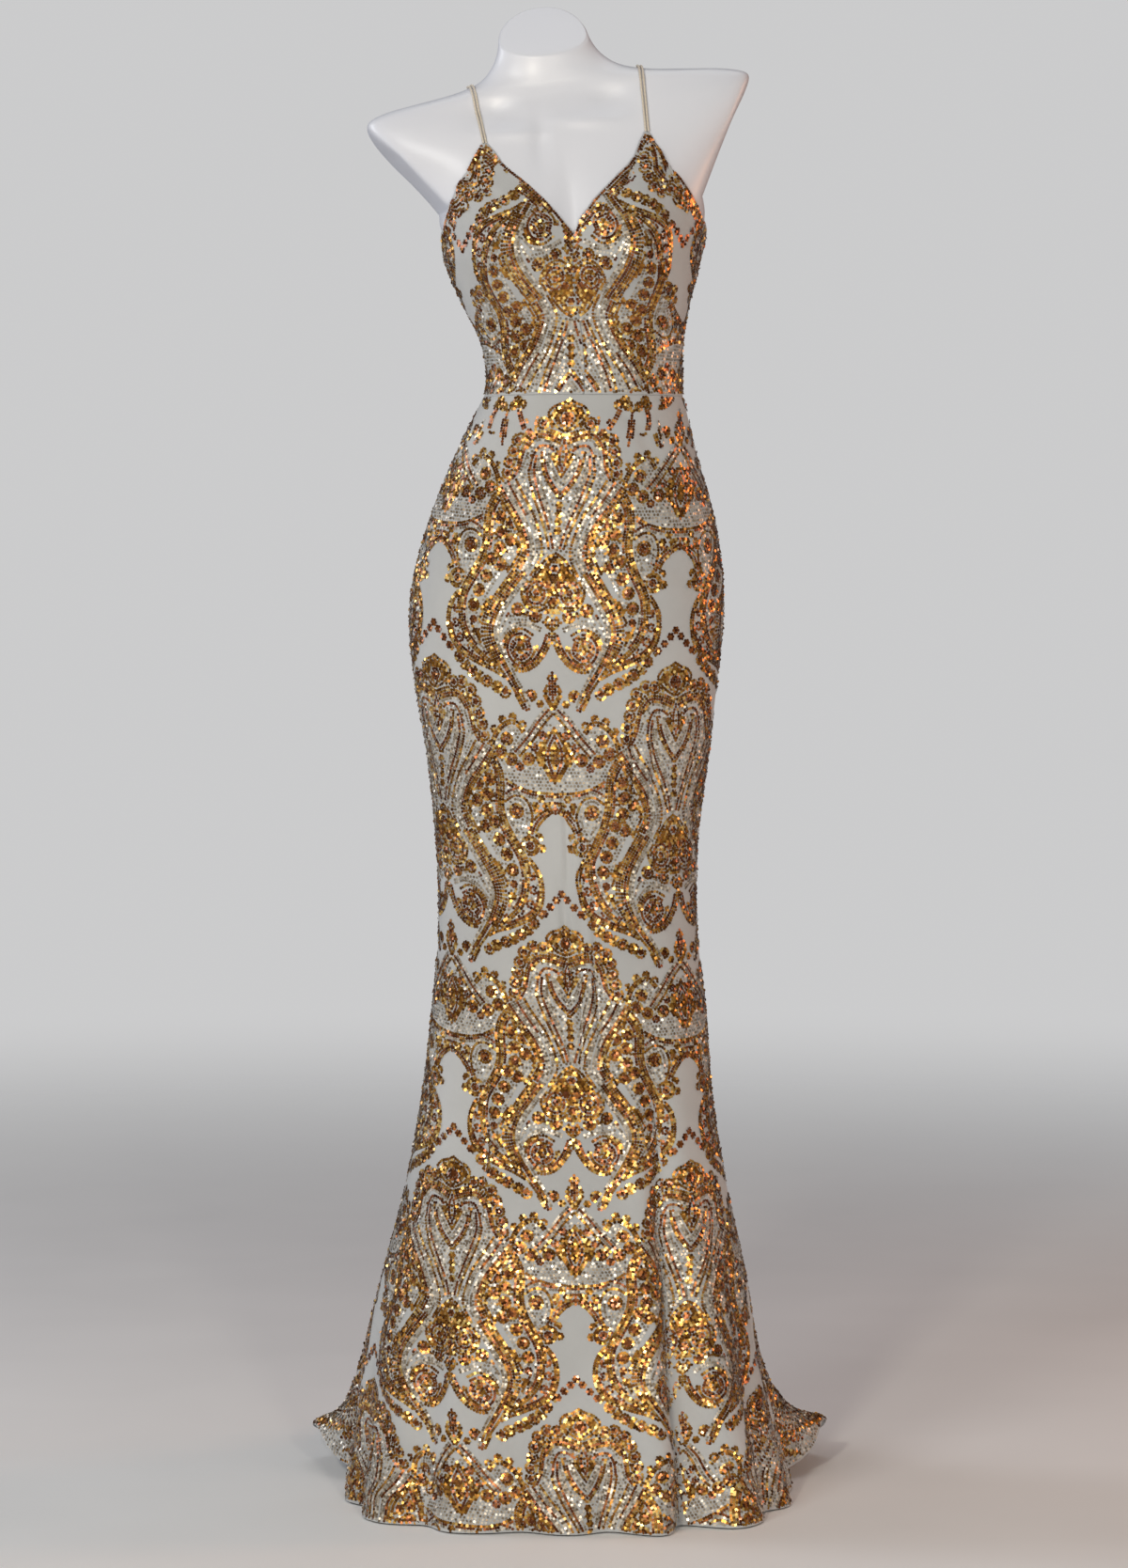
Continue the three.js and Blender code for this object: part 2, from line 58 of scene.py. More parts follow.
# %% The tables
TRUNK_COLUMNS = ["z", "middle", "half", "front", "back", "square"]
TRUNK = np.array(
    [
        [800, 5, 150, 95, 98, 2.1],
        [855, 2, 158, 97, 108, 2.1],
        [933, 3, 163, 97, 121, 2.1],
        [1011, 8, 150, 93, 108, 2.1],
        [1089, 13, 124, 88, 84, 2.1],
        [1145, 20, 104, 82, 68, 2.1],
        [1172, 21, 102, 80, 67, 2.1],
        [1206, 18, 106, 81, 72, 2.1],
        [1244, 12, 119, 86, 82, 2.2],
        [1283, 9, 132, 90, 90, 2.2],
        [1312, 10, 138, 90, 94, 2.3],
        [1345, 6, 148, 83, 96, 2.4],
        [1380, 0, 168, 72, 94, 2.6],
        [1410, -5, 192, 61, 87, 2.8],
        [1435, -6, 208, 49, 77, 2.9],
        [1450, -7, 206, 41, 69, 2.7],
        [1459, -8, 180, 38, 63, 2.4],
        [1464, -10, 142, 37, 59, 2.2],
        [1468, -12, 110, 37, 56, 2.1],
        [1475, -14, 82, 37, 53, 2.0],
        [1486, -17, 65, 37, 50, 2.0],
        [1502, -20, 54, 38, 48, 2.0],
        [1522, -23, 49, 40, 47, 2.0],
        [1550, -25, 47, 42, 47, 2.0],
        [1585, -26, 47, 43, 47, 2.0],
    ]
)
SKIRT_COLUMNS = ["level", "front_z", "back_z", "middle", "half", "front", "back", "spread", "square"]
SKIRT = np.array(
    [
        [0, 1145, 1145, 20, 104, 82, 68, 0, 2.1],
        [1, 1089, 1089, 13, 124, 88, 84, 0, 2.1],
        [2, 1011, 1011, 8, 150, 93, 108, 0, 2.1],
        [3, 933, 933, 3, 163, 97, 121, 0, 2.1],
        [4, 855, 855, 2, 158, 97, 108, 0, 2.1],
        [5, 777, 777, 4, 147, 94, 94, 0, 2.1],
        [6, 689, 689, 3, 137, 89, 86, 0, 2.1],
        [7, 600, 600, 4, 135, 87, 88, 0, 2.1],
        [8, 510, 500, 5, 143, 92, 100, 0, 2.2],
        [9, 411, 372, 3, 153, 103, 132, 0, 2.2],
        [10, 323, 245, 2, 168, 118, 185, 0, 2.3],
        [11, 234, 130, 0, 188, 141, 268, 4, 2.4],
        [12, 150, 52, -3, 204, 162, 370, 14, 2.5],
        [13, 76, 17, 1, 215, 180, 450, 30, 2.6],
        [14, 30, 4, 3, 224, 192, 505, 46, 2.7],
        [15, 1.4, 1.6, 5, 229, 198, 535, 56, 2.8],
    ]
)
# Each fold: the level it starts at, its turn there and at the hem, how wide it is in degrees, and
# how far it is pressed in and lifted, in millimetres.
FOLDS = np.array(
    [
        [7.0, 51, 35, 6.2, 26, 0],
        [9.6, 71, 62, 6.0, 13, 0],
        [11.4, 15, 12, 6.5, 8, 0],
        [10.4, -18, -14, 7.0, 7, 0],
        [9.0, -48, -42, 6.0, 12, 0],
        [10.2, -74, -68, 6.0, 12, 0],
        [8.6, 98, 100, 5.0, 15, 4],
        [12.2, 113, 114, 6.0, 0, 46],
        [8.2, 130, 128, 6.0, 24, 10],
        [8.8, 153, 150, 6.5, 22, 13],
        [9.2, 173, 171, 5.5, 14, 8],
        [8.9, -101, -99, 5.0, 14, 5],
        [12.2, -112, -112, 6.0, 0, 42],
        [9.0, -127, -125, 5.5, 20, 18],
        [8.4, -147, -145, 6.5, 25, 9],
        [9.4, -168, -166, 6.0, 17, 12],
    ]
)
CLOTH = 2.0
FORM_INSET = CLOTH + 2.6
WAIST_SEAM = 1145
HEM = 15
BUST = {"height": 1288, "apart": 66, "rise": 31, "across": 38, "above": 50, "below": 32, "set_in": 0.7}
print(len(TRUNK), "trunk sections,", len(SKIRT), "skirt levels,", len(FOLDS), "folds")


# %% Reading the tables
def smooth(t):
    t = np.clip(t, 0, 1)
    return t * t * (3 - 2 * t)


def bell(distance, width):
    return np.exp(-((distance / width) ** 2))


def lengths(line):
    """How far along a line each of its points is."""
    return np.concatenate([[0], np.cumsum(np.linalg.norm(np.diff(line, axis=0), axis=1))])


def read(table, columns, at, name):
    """One column of a table, read smoothly between its rows."""
    keys = table[:, 0]
    values = table[:, columns.index(name)]
    slopes = np.empty(len(keys))
    slopes[1:-1] = (values[2:] - values[:-2]) / (keys[2:] - keys[:-2])
    slopes[0] = (values[1] - values[0]) / (keys[1] - keys[0])
    slopes[-1] = (values[-1] - values[-2]) / (keys[-1] - keys[-2])
    i = np.clip(np.searchsorted(keys, at, side="right") - 1, 0, len(keys) - 2)
    span = keys[i + 1] - keys[i]
    t = np.clip((at - keys[i]) / span, 0, 1)
    s = 1 - t
    return (
        values[i] * (1 + 2 * t) * s * s
        + values[i + 1] * t * t * (3 - 2 * t)
        + span * (slopes[i] * t * s * s - slopes[i + 1] * t * t * s)
    )


def reach(half, depth, square, turn):
    """Reach of a section's outline from its middle, turn degrees round from the front."""
    across = np.abs(np.sin(np.radians(turn))) / half
    along = np.abs(np.cos(np.radians(turn))) / depth
    return (across**square + along**square) ** (-1 / square)


def tilt_at(z):
    return 0.13 * smooth((z - 1250) / 200)


def bust(x, z, rise):
    up = (z - BUST["height"]) / np.where(z > BUST["height"], BUST["above"], BUST["below"])
    out = (np.abs(x) - BUST["apart"]) / BUST["across"]
    return rise * np.exp(-0.5 * (out * out + up * up))


def trunk_point(z, turn, inset):
    """Points on the trunk's surface, set in by inset, in millimetres."""
    z, turn = np.broadcast_arrays(np.asarray(z, float), np.asarray(turn, float))
    get = lambda name: read(TRUNK, TRUNK_COLUMNS, z, name)
    depth = np.where(np.abs(turn) < 90, get("front"), get("back"))
    r = reach(get("half") - inset, depth - inset, get("square"), turn)
    x = r * np.sin(np.radians(turn))
    y = -r * np.cos(np.radians(turn))
    cup = bust(x, z, BUST["rise"] - BUST["set_in"] * inset) * smooth(-y / 40)
    return np.stack([get("middle") + x, y - cup, z + tilt_at(z) * x], axis=-1)


print("waist half width", round(float(read(TRUNK, TRUNK_COLUMNS, 1172.0, "half")), 1), "mm")


# %% [markdown]
# ## The cloth's surfaces
# Each panel is a surface with two directions: how far down the gown, and how far round it. The
# skirt's folds are troughs that run down it. The smaller creases are listed one by one: the pull from
# the waist to the hip, the slack above the knee, the breaks above the floor. No two are alike.

# %% The creases
# from and to are (level or height, turn); width and depth are millimetres, a ridge is negative.
SKIRT_CREASES = [
    ((0.3, -4), (1.5, -47), 9, 3.4),
    ((0.7, -12), (2.3, -58), 11, 2.6),
    ((0.2, 20), (1.3, 60), 9, 2.6),
    ((0.5, 34), (2.4, 66), 10, 2.2),
    ((1.6, -62), (2.6, -25), 13, 1.2),
    ((2.2, 38), (3.1, 74), 12, 1.2),
    ((4.3, 34), (6.0, 40), 7, 3.6),
    ((4.5, 47), (5.9, 48), 6, 2.6),
    ((4.4, -50), (6.2, -44), 8, 2.6),
    ((6.3, -6), (8.4, -3), 7, 3.6),
    ((6.6, 12), (8.2, 10), 6, -2.4),
    ((7.2, 4), (9.0, 7), 6, 2.6),
    ((5.2, -4), (7.0, -2), 5, 3.2),
    ((5.3, 4), (6.9, 5), 5, -2.4),
    ((8.5, -47), (10.3, -42), 6, 3.4),
    ((8.7, 48), (10.2, 45), 6, 3.4),
    ((7.1, 15), (8.7, 18), 6, 2.8),
    ((3.0, -38), (4.6, -33), 7, 2.6),
    ((8.0, 24), (9.6, 20), 10, 2.8),
    ((8.4, -36), (10.4, -30), 12, 2.6),
    ((9.6, 0), (11.4, 4), 12, 2.4),
    ((10.8, -60), (12.6, -40), 14, 3.4),
    ((12.0, -70), (13.8, -46), 13, 4.0),
    ((13.0, -56), (14.6, -30), 12, 3.6),
    ((12.8, 2), (14.4, 20), 13, 3.2),
    ((13.5, -16), (14.8, 2), 11, 2.8),
    ((12.6, 48), (14.2, 30), 12, 3.0),
    ((13.4, 70), (14.7, 50), 12, 3.6),
    ((0.4, 150), (1.8, 118), 10, 1.8),
    ((0.6, -160), (2.0, -122), 11, 1.6),
    ((3.6, 168), (4.4, 140), 12, 2.4),
    ((3.9, -170), (4.8, -138), 12, 2.2),
    ((4.6, 172), (5.3, 142), 10, 1.8),
    ((6.2, -158), (7.9, -150), 11, 2.2),
    ((6.6, 150), (8.4, 144), 10, 2.4),
    ((10.6, 140), (12.6, 162), 16, 4.2),
    ((11.2, -136), (13.0, -158), 16, 4.0),
    ((12.8, 122), (14.0, 146), 15, 4.6),
    ((13.1, -118), (14.2, -140), 15, 4.4),
]
BODICE_CREASES = [
    ((1392, -63), (1330, -34), 5, 2.2),
    ((1384, -70), (1316, -48), 5, 1.8),
    ((1402, 62), (1338, 36), 5, 2.2),
    ((1392, 70), (1322, 50), 5, 1.8),
    ((1372, 50), (1330, 28), 4, 1.6),
    ((1250, -70), (1210, -30), 10, 1.0),
    ((1236, 74), (1200, 34), 10, 1.1),
    ((1180, -80), (1160, -20), 8, 1.1),
    ((1176, 84), (1158, 26), 8, 0.9),
    ((1240, 120), (1200, 165), 11, 1.3),
    ((1230, -118), (1190, -164), 11, 1.2),
    ((1180, 130), (1160, 170), 9, 1.0),
]


def creased(down, turn, creases, down_mm, turn_mm):
    """How far the listed creases push the cloth in, in millimetres."""
    push = np.zeros(np.broadcast(down, turn).shape)
    for (d0, t0), (d1, t1), width, depth in creases:
        run = np.array([(d1 - d0) * down_mm, (t1 - t0) * turn_mm])
        long = np.hypot(*run)
        a = (down - d0) * down_mm
        b = (turn - t0) * turn_mm
        along = (a * run[0] + b * run[1]) / long**2
        across = (a * run[1] - b * run[0]) / long
        bow = across + 0.06 * long * np.sin(np.pi * np.clip(along, 0, 1))
        ends = smooth(along / 0.3) * smooth((1 - along) / 0.45)
        off = bow / width
        push += depth * ends * (1 - 0.55 * off * off) * np.exp(-0.5 * off * off)
    return push


print(len(SKIRT_CREASES) + len(BODICE_CREASES), "creases placed by hand")


# %% The skirt's surface
# Over the form a crease may only be as deep as the room between cloth and form allows.
CREASE_ROOM = 1.9
FORM_FOOT_LEVEL = 4.8


def skirt_point(level, turn):
    """The middle of the skirt's cloth, in millimetres."""
    level, turn = np.broadcast_arrays(np.asarray(level, float), np.asarray(turn, float))
    get = lambda name: read(SKIRT, SKIRT_COLUMNS, level, name)
    sin, cos = np.sin(np.radians(turn)), np.cos(np.radians(turn))
    to_back = np.maximum(0, -cos)
    behind = smooth(to_back / 0.6)
    depth = np.where(to_back > 0, get("back"), get("front"))
    half = get("half") + get("spread") * behind
    square = get("square") * (1 - behind) + 2.1 * behind
    r = reach(half - CLOTH / 2, depth - CLOTH / 2, square, turn)
    lift = np.zeros(r.shape)
    for top, turn_top, turn_hem, width, deep, raised in FOLDS:
        down = (level - top) / (HEM - top)
        off = (turn - turn_top - (turn_hem - turn_top) * down) / width
        bell = np.exp(-0.5 * off * off)
        r = r - np.where(down > 0, deep * smooth(down) * (1 - off * off) * bell, 0)
        lift = lift + np.where(down > 0, raised * smooth((level - 12) / 3) * bell, 0)
    room = CREASE_ROOM + 30 * smooth((level - FORM_FOOT_LEVEL) / 0.8)
    r = r - room * np.tanh(creased(level, turn, SKIRT_CREASES, 78, 2.6) / room)
    z = get("front_z") + (get("back_z") - get("front_z")) * to_back**1.3 + lift
    return np.stack([get("middle") + r * sin, -r * cos, z], axis=-1)


def bodice_point(height, turn):
    """The middle of the bodice's cloth, in millimetres."""
    height, turn = np.broadcast_arrays(np.asarray(height, float), np.asarray(turn, float))
    push = creased(height, turn, BODICE_CREASES, 1.0, 2.1)
    hold = smooth((height - WAIST_SEAM) / 12)
    return trunk_point(height, turn, CLOTH / 2 + push * hold)


# %% [markdown]
# ## The bodice's edges
# The neckline is a V between two cups that end in points, where the cords are sewn. The armholes
# drop from the points to the side seams, and the back is scooped low. Each edge is a short table.

# %% The edge tables
FRONT_EDGES = {
    -1: [(7, 1306), (-1, 1319), (-17, 1338), (-38, 1358), (-62, 1377), (-77, 1400)]
    + [(-84, 1400), (-97, 1377), (-111, 1354), (-119, 1333), (-124, 1316), (-127, 1304)],
    1: [(7, 1306), (16, 1322), (31, 1342), (51, 1363), (71, 1383), (81, 1412)]
    + [(88, 1412), (101, 1386), (120, 1364), (134, 1344), (142, 1327), (148, 1311)],
}
STRIPS = [0.0, 0.1, 0.2, 0.3, 0.38, 0.44, 0.48, 0.58, 0.69, 0.8, 0.9, 1.0]
BACK_SHARES = [0.0, 0.15, 0.35, 0.55, 0.75, 1.0]
BACK_EDGES = {
    -1: [1304, 1291, 1279, 1272, 1264, 1258],
    1: [1311, 1298, 1284, 1275, 1266, 1258],
}


def trunk_turn(x, z):
    """The section height and the turn at which the trunk's front passes through (x, z)."""
    height = float(z)
    turn = 0.0
    for _ in range(8):
        middle = float(read(TRUNK, TRUNK_COLUMNS, height, "middle"))
        side = -1 if x < middle else 1
        turns = np.linspace(0, 90, 361) * side
        reached = trunk_point(height, turns, 0)[:, 0] * side
        turn = float(np.interp(x * side, reached, turns * side)) * side
        height = z - float(tilt_at(height)) * (x - middle)
    return height, turn


def front_tops(side):
    """The top edge of one bodice front, as section heights and turns."""
    tops = [trunk_turn(x, z) for x, z in FRONT_EDGES[side]]
    tops[0] = (tops[0][0], 0.0)
    x, z = FRONT_EDGES[side][-1]
    half = float(read(TRUNK, TRUNK_COLUMNS, z, "half"))
    tops[-1] = (z - float(tilt_at(z)) * side * half, side * 90.0)
    return np.array(tops)


TOPS = {side: front_tops(side) for side in (-1, 1)}


def back_top(side, share):
    """The section height of the back's top edge."""
    table = np.stack([BACK_SHARES, BACK_EDGES[side]], axis=1)
    z = read(table, ["share", "z"], share, "z")
    half = read(TRUNK, TRUNK_COLUMNS, z, "half")
    return z - tilt_at(z) * side * half * np.sin(np.radians(90 + 90 * share))


for side in (-1, 1):
    print("neckline points, side", side, TOPS[side][5].round(1))


# %% [markdown]
# ## Panels as thin shells
# Each panel is cut from the cloth and sewn in, so each is its own piece. The mesh is a grid over
# the panel's surface, given an outer and an inner face 0.9 mm apart and closed round its edges.
# Rows lie closer together beside the seams, where the cloth dips into the stitching.

# %% Making a shell
# Millimetres: half the open seam, half the shell, and the least height over the floor.
SEAM = 0.15
SHELL = 0.45
OFF_FLOOR = 0.3


def spaced(length, step):
    """Shares along an edge, closer together near both its ends."""
    inner = np.linspace(7 / length, 1 - 7 / length, max(3, int(length / step)))
    ends = np.array([0, 1.2, 3.2]) / length
    return np.concatenate([ends, inner, 1 - ends[::-1]])


def frames(surface, a, b, da, db):
    """Where a surface is, and which way it faces, at (a, b)."""
    here = surface(a, b)
    along = surface(a, b + db) - surface(a, b - db)
    down = surface(a + da, b) - surface(a - da, b)
    across = np.cross(down, along)
    across /= np.linalg.norm(across, axis=-1, keepdims=True) + 1e-9
    along /= np.linalg.norm(along, axis=-1, keepdims=True) + 1e-9
    return here, across, along


def put(name, data):
    """An object of the scene that holds a mesh, a light or a camera."""
    obj = bpy.data.objects.new(name, data)
    bpy.context.scene.collection.objects.link(obj)
    return obj


def put_mesh(name, points, quads):
    """A smooth mesh object from metres and faces."""
    mesh = bpy.data.meshes.new(name)
    mesh.from_pydata([tuple(p) for p in points], [], [tuple(q) for q in quads])
    mesh.validate()
    mesh.polygons.foreach_set("use_smooth", [True] * len(mesh.polygons))
    return put(name, mesh)


def mark_cloth(obj, flat):
    """Give every corner its place on the flat cloth, from millimetres for each point."""
    corners = np.empty(len(obj.data.loops), int)
    obj.data.loops.foreach_get("vertex_index", corners)
    layer = obj.data.uv_layers.new(name="cloth")
    layer.data.foreach_set("uv", (flat[corners] * MM).ravel())


def ring_faces(rows, cols):
    """Faces between closed rings of points, with the points' numbers and their neighbours'."""
    at = np.arange(rows * cols).reshape(rows, cols)
    right = np.roll(at, -1, axis=1)
    quads = np.stack([at[:-1], right[:-1], right[1:], at[1:]], axis=-1).reshape(-1, 4)
    return [tuple(q) for q in quads], at, right


def shell(name, here, out, along, dips, uv):
    """A closed thin shell over a grid of points; dips says how far each is drawn in."""
    rows, cols = here.shape[:2]
    here = here.copy()
    here[:, 0] += along[:, 0] * SEAM
    here[:, -1] -= along[:, -1] * SEAM
    middle = here - out * dips[..., None]
    outer = middle + out * SHELL
    inner = middle - out * SHELL
    for face in (outer, inner):
        face[..., 2] = np.maximum(face[..., 2], OFF_FLOOR)
    points = np.concatenate([outer.reshape(-1, 3), inner.reshape(-1, 3)]) * MM
    at = np.arange(rows * cols).reshape(rows, cols)
    a, b, c, d = at[:-1, :-1], at[1:, :-1], at[1:, 1:], at[:-1, 1:]
    under = rows * cols
    quads = [np.stack([a, b, c, d], axis=-1).reshape(-1, 4)]
    quads.append(np.stack([a, d, c, b], axis=-1).reshape(-1, 4) + under)
    rim = np.concatenate([at[0, :], at[1:, -1], at[-1, -2::-1], at[-2::-1, 0]])
    turn = np.stack([rim[:-1], rim[1:], rim[1:] + under, rim[:-1] + under], axis=-1)
    quads.append(turn)
    obj = put_mesh(name, points, np.concatenate(quads))
    mark_cloth(obj, np.tile(uv.reshape(-1, 2), (2, 1)))
    return obj


# %% [markdown]
# ## Laying the cloth flat
# The damask is drawn on flat cloth, so each panel needs a way from the cloth's own millimetres,
# across and down, to the place on the gown. Lengths along the rings and down the panel give it.

# %% Flattening a panel
def flatten(surface, downs, turns, axis_turn, drop):
    """Cloth distances from the damask's axis and down it, over a grid of the surface."""
    a, b = np.meshgrid(downs, turns, indexing="ij")
    p = surface(a, b)
    steps = np.linalg.norm(np.diff(p, axis=1), axis=-1)
    across = np.concatenate([np.zeros((len(downs), 1)), np.cumsum(steps, axis=1)], axis=1)
    for i, axis in enumerate(axis_turn(downs)):
        across[i] -= np.interp(axis, turns, across[i])
    steps = np.linalg.norm(np.diff(p, axis=0), axis=-1)
    down = np.concatenate([np.zeros((1, len(turns))), np.cumsum(steps, axis=0)], axis=0)
    return across, drop(down)


def unflatten(downs, turns, across, drop, step=2.0):
    """The way back: a table of (down, turn) over even cloth distances."""
    us = np.arange(across.min(), across.max() + step, step)
    turn_at = np.full((len(downs), len(us)), np.nan)
    drop_at = np.full((len(downs), len(us)), np.nan)
    for i in range(len(downs)):
        reached = (us >= across[i, 0]) & (us <= across[i, -1])
        turn_at[i, reached] = np.interp(us[reached], across[i], turns)
        drop_at[i, reached] = np.interp(us[reached], across[i], drop[i])
    vs = np.arange(np.nanmin(drop), np.nanmax(drop) + step, step)
    table = np.full((len(vs), len(us), 2), np.nan)
    for j in range(len(us)):
        good = ~np.isnan(drop_at[:, j])
        if good.sum() < 2:
            continue
        order = np.argsort(drop_at[good, j])
        seen = drop_at[good, j][order]
        hit = (vs >= seen[0]) & (vs <= seen[-1])
        table[hit, j, 0] = np.interp(vs[hit], seen, downs[good][order])
        table[hit, j, 1] = np.interp(vs[hit], seen, turn_at[good, j][order])
    return us, vs, table


def look_up(us, vs, table, u, v):
    """Read the table between its entries; nan where the cloth doesn't reach."""
    x = (u - us[0]) / (us[1] - us[0])
    y = (v - vs[0]) / (vs[1] - vs[0])
    ok = (x >= 0) & (y >= 0) & (x < len(us) - 1) & (y < len(vs) - 1)
    i = np.clip(x.astype(int), 0, len(us) - 2)
    j = np.clip(y.astype(int), 0, len(vs) - 2)
    s = (x - i)[:, None]
    t = (y - j)[:, None]
    top = table[j, i] * (1 - s) + table[j, i + 1] * s
    low = table[j + 1, i] * (1 - s) + table[j + 1, i + 1] * s
    found = top * (1 - t) + low * t
    found[~ok] = np.nan
    return found


def look_grid(downs, turns, values, a, b):
    """Values of a fine grid at (a, b)."""
    i = np.clip(np.searchsorted(downs, a, side="right") - 1, 0, len(downs) - 2)
    j = np.clip(np.searchsorted(turns, b, side="right") - 1, 0, len(turns) - 2)
    s = ((a - downs[i]) / (downs[i + 1] - downs[i])).clip(0, 1)
    t = ((b - turns[j]) / (turns[j + 1] - turns[j])).clip(0, 1)
    top = values[i, j] * (1 - t) + values[i, j + 1] * t
    low = values[i + 1, j] * (1 - t) + values[i + 1, j + 1] * t
    return top * (1 - s) + low * s


# %% Where the damask's axis lies
# The skirt's level, and how far to the right of its middle the axis is there, in millimetres.
AXIS_OFFSETS = np.array(
    [[-1, -13], [0, -13], [2.9, -15], [5.5, -13], [7, -4], [9, 6], [11, 12], [13, 19], [15, 22]],
    float,
)
NECK_POINT = 7


def front_axis(levels):
    """The turn of the damask's axis on the skirt front."""
    off = np.interp(levels, AXIS_OFFSETS[:, 0], AXIS_OFFSETS[:, 1])
    depth = read(SKIRT, SKIRT_COLUMNS, levels, "front")
    return np.degrees(np.arctan2(off, depth))


def bodice_axis(heights):
    off = NECK_POINT - read(TRUNK, TRUNK_COLUMNS, heights, "middle")
    depth = read(TRUNK, TRUNK_COLUMNS, heights, "front")
    return np.degrees(np.arctan2(off, depth))


FINE = np.linspace(0, HEM, 481)
CENTRE = skirt_point(FINE, 0.0)
CENTRE_DOWN = lengths(CENTRE)
BUD_HEIGHTS = (1141, 604, 123)
BUD_TIPS = [float(np.interp(-z, -CENTRE[:, 2], CENTRE_DOWN)) for z in BUD_HEIGHTS]
print("the buds start", [round(b) for b in BUD_TIPS], "mm below the waist")


def skirt_drop(down):
    """Chart distance for a distance down the skirt."""
    first, second, third = BUD_TIPS
    upper = (down - first) * REPEAT / (second - first)
    lower = REPEAT + (down - second) * REPEAT / (third - second)
    return np.where(down < second, upper, lower)


# %% [markdown]
# ## The damask
# Real sequinned net is embroidered in rows: a machine chains one sequin after another along a
# drawn line, outlines first, then the fill. The chart below is such a drawing for one half of a
# column, in millimetres from the column's axis and down from the tip of its bud. Mirrored about
# the axis and dropped by half a repeat in the next column, it covers the whole cloth.

# %% The damask's drawing tools
G, B, C = "gold", "bronze", "clear"
COLUMN = 130
REPEAT = 520
PITCH = {G: 2.75, B: 2.75, C: 2.8}
CLOSE = 2.15


def rounded(points, steps):
    """Points on one smooth curve through the given ones, so many to a stretch."""
    p = np.array(points, float)
    ends = np.vstack([2 * p[0] - p[1], p, 2 * p[-1] - p[-2]])
    t = np.linspace(0, 1, steps, endpoint=False)[:, None]
    runs = []
    for a, b, c, d in zip(ends, ends[1:], ends[2:], ends[3:]):
        square = (2 * a - 5 * b + 4 * c - d) * t**2
        cube = (3 * b - a - 3 * c + d) * t**3
        runs.append((2 * b + (c - a) * t + square + cube) / 2)
    return np.vstack(runs + [p[-1:]])


def through(points, step):
    """Points step apart on one smooth curve through the given ones."""
    p = np.array(points, float)
    if len(p) == 2:
        p = np.array([p[0], (p[0] + p[1]) / 2, p[1]])
    line = rounded(p, 24)
    along = np.concatenate([[0], np.cumsum(np.hypot(*np.diff(line, axis=0).T))])
    count = max(2, int(round(along[-1] / step)) + 1)
    at = np.linspace(0, along[-1], count)
    return np.stack([np.interp(at, along, line[:, k]) for k in (0, 1)], axis=1)


def beside(line):
    """The way to the side of a line, towards the axis where it runs down, and the share run."""
    aim = np.gradient(line, axis=0)
    aim /= np.hypot(*aim.T)[:, None] + 1e-9
    return np.stack([-aim[:, 1], aim[:, 0]], axis=1), np.linspace(0, 1, len(line))


def band(finish, widths, points):
    """Rows of sequins along a curve; widths are the band's at its start, middle and end."""
    pitch = PITCH[finish]
    line = through(points, pitch)
    side, share = beside(line)
    wide = np.interp(share, [0, 0.5, 1], widths)
    rows = max(1, int(round(max(widths) / pitch)))
    placed = []
    for i in range(rows):
        off = (i - (rows - 1) / 2) * pitch
        placed.append((line + side * off)[np.abs(off) <= wide / 2 + 0.1])
    return [(finish, np.vstack(placed))]


def braid(rows, points):
    """Rows side by side along one middle line, each with its own finish and distance from it."""
    line = through(points, PITCH[G])
    side, share = beside(line)
    return [(row[0], line + side * np.interp(share, [0, 0.5, 1], row[1:])[:, None]) for row in rows]


def round_row(middle, radius, turn):
    return np.stack([middle[0] + radius * np.cos(turn), middle[1] + radius * np.sin(turn)], axis=1)


def rings(finish, radius, middles):
    """One round row about each place."""
    count = max(4, round(2 * np.pi * radius / PITCH[finish]))
    turn = np.linspace(0, 2 * np.pi, count, endpoint=False)
    return [(finish, np.vstack([round_row(middle, radius, turn) for middle in middles]))]


def dots(finish, radius, middles):
    """Round spots: a sequin in the middle of each, and rings about it."""
    pitch = PITCH[finish]
    laid = []
    for middle in middles:
        spot = [np.array([middle], float)]
        for r in np.arange(radius, 0.8, -pitch * 0.92):
            turn = np.arange(0, 2 * np.pi - 1e-6, 2 * np.pi / max(3, round(2 * np.pi * r / pitch)))
            spot.insert(0, round_row(middle, r, turn))
        laid += spot
    return [(finish, np.vstack(laid))]


def eyed(eye, radius, middles):
    """Gold spots, each with a bronze one at its heart."""
    return dots(B, eye, middles) + dots(G, radius, middles)


def inside(points, outline):
    x, y = points.T
    held = np.zeros(len(points), bool)
    for (x0, y0), (x1, y1) in zip(outline, np.roll(outline, -1, axis=0)):
        crosses = (y0 > y) != (y1 > y)
        held ^= crosses & (x < (x1 - x0) * (y - y0) / (y1 - y0 + 1e-12) + x0)
    return held


def fill(finish, points):
    """Staggered rows inside a closed smooth outline; clear sequins lie wider apart."""
    pitch = PITCH[finish] * (1.3 if finish == C else 1.0)
    outline = through(list(points) + [points[0]], 2.0)
    low, high = outline.min(axis=0), outline.max(axis=0)
    rows = np.arange(low[1], high[1], pitch * 0.9)
    grid = []
    for i, y in enumerate(rows):
        x = np.arange(low[0] + (i % 2) * pitch / 2, high[0], pitch)
        grid.append(np.stack([x, np.full(len(x), y)], axis=1))
    grid = np.vstack(grid)
    return [(finish, grid[inside(grid, outline)])]


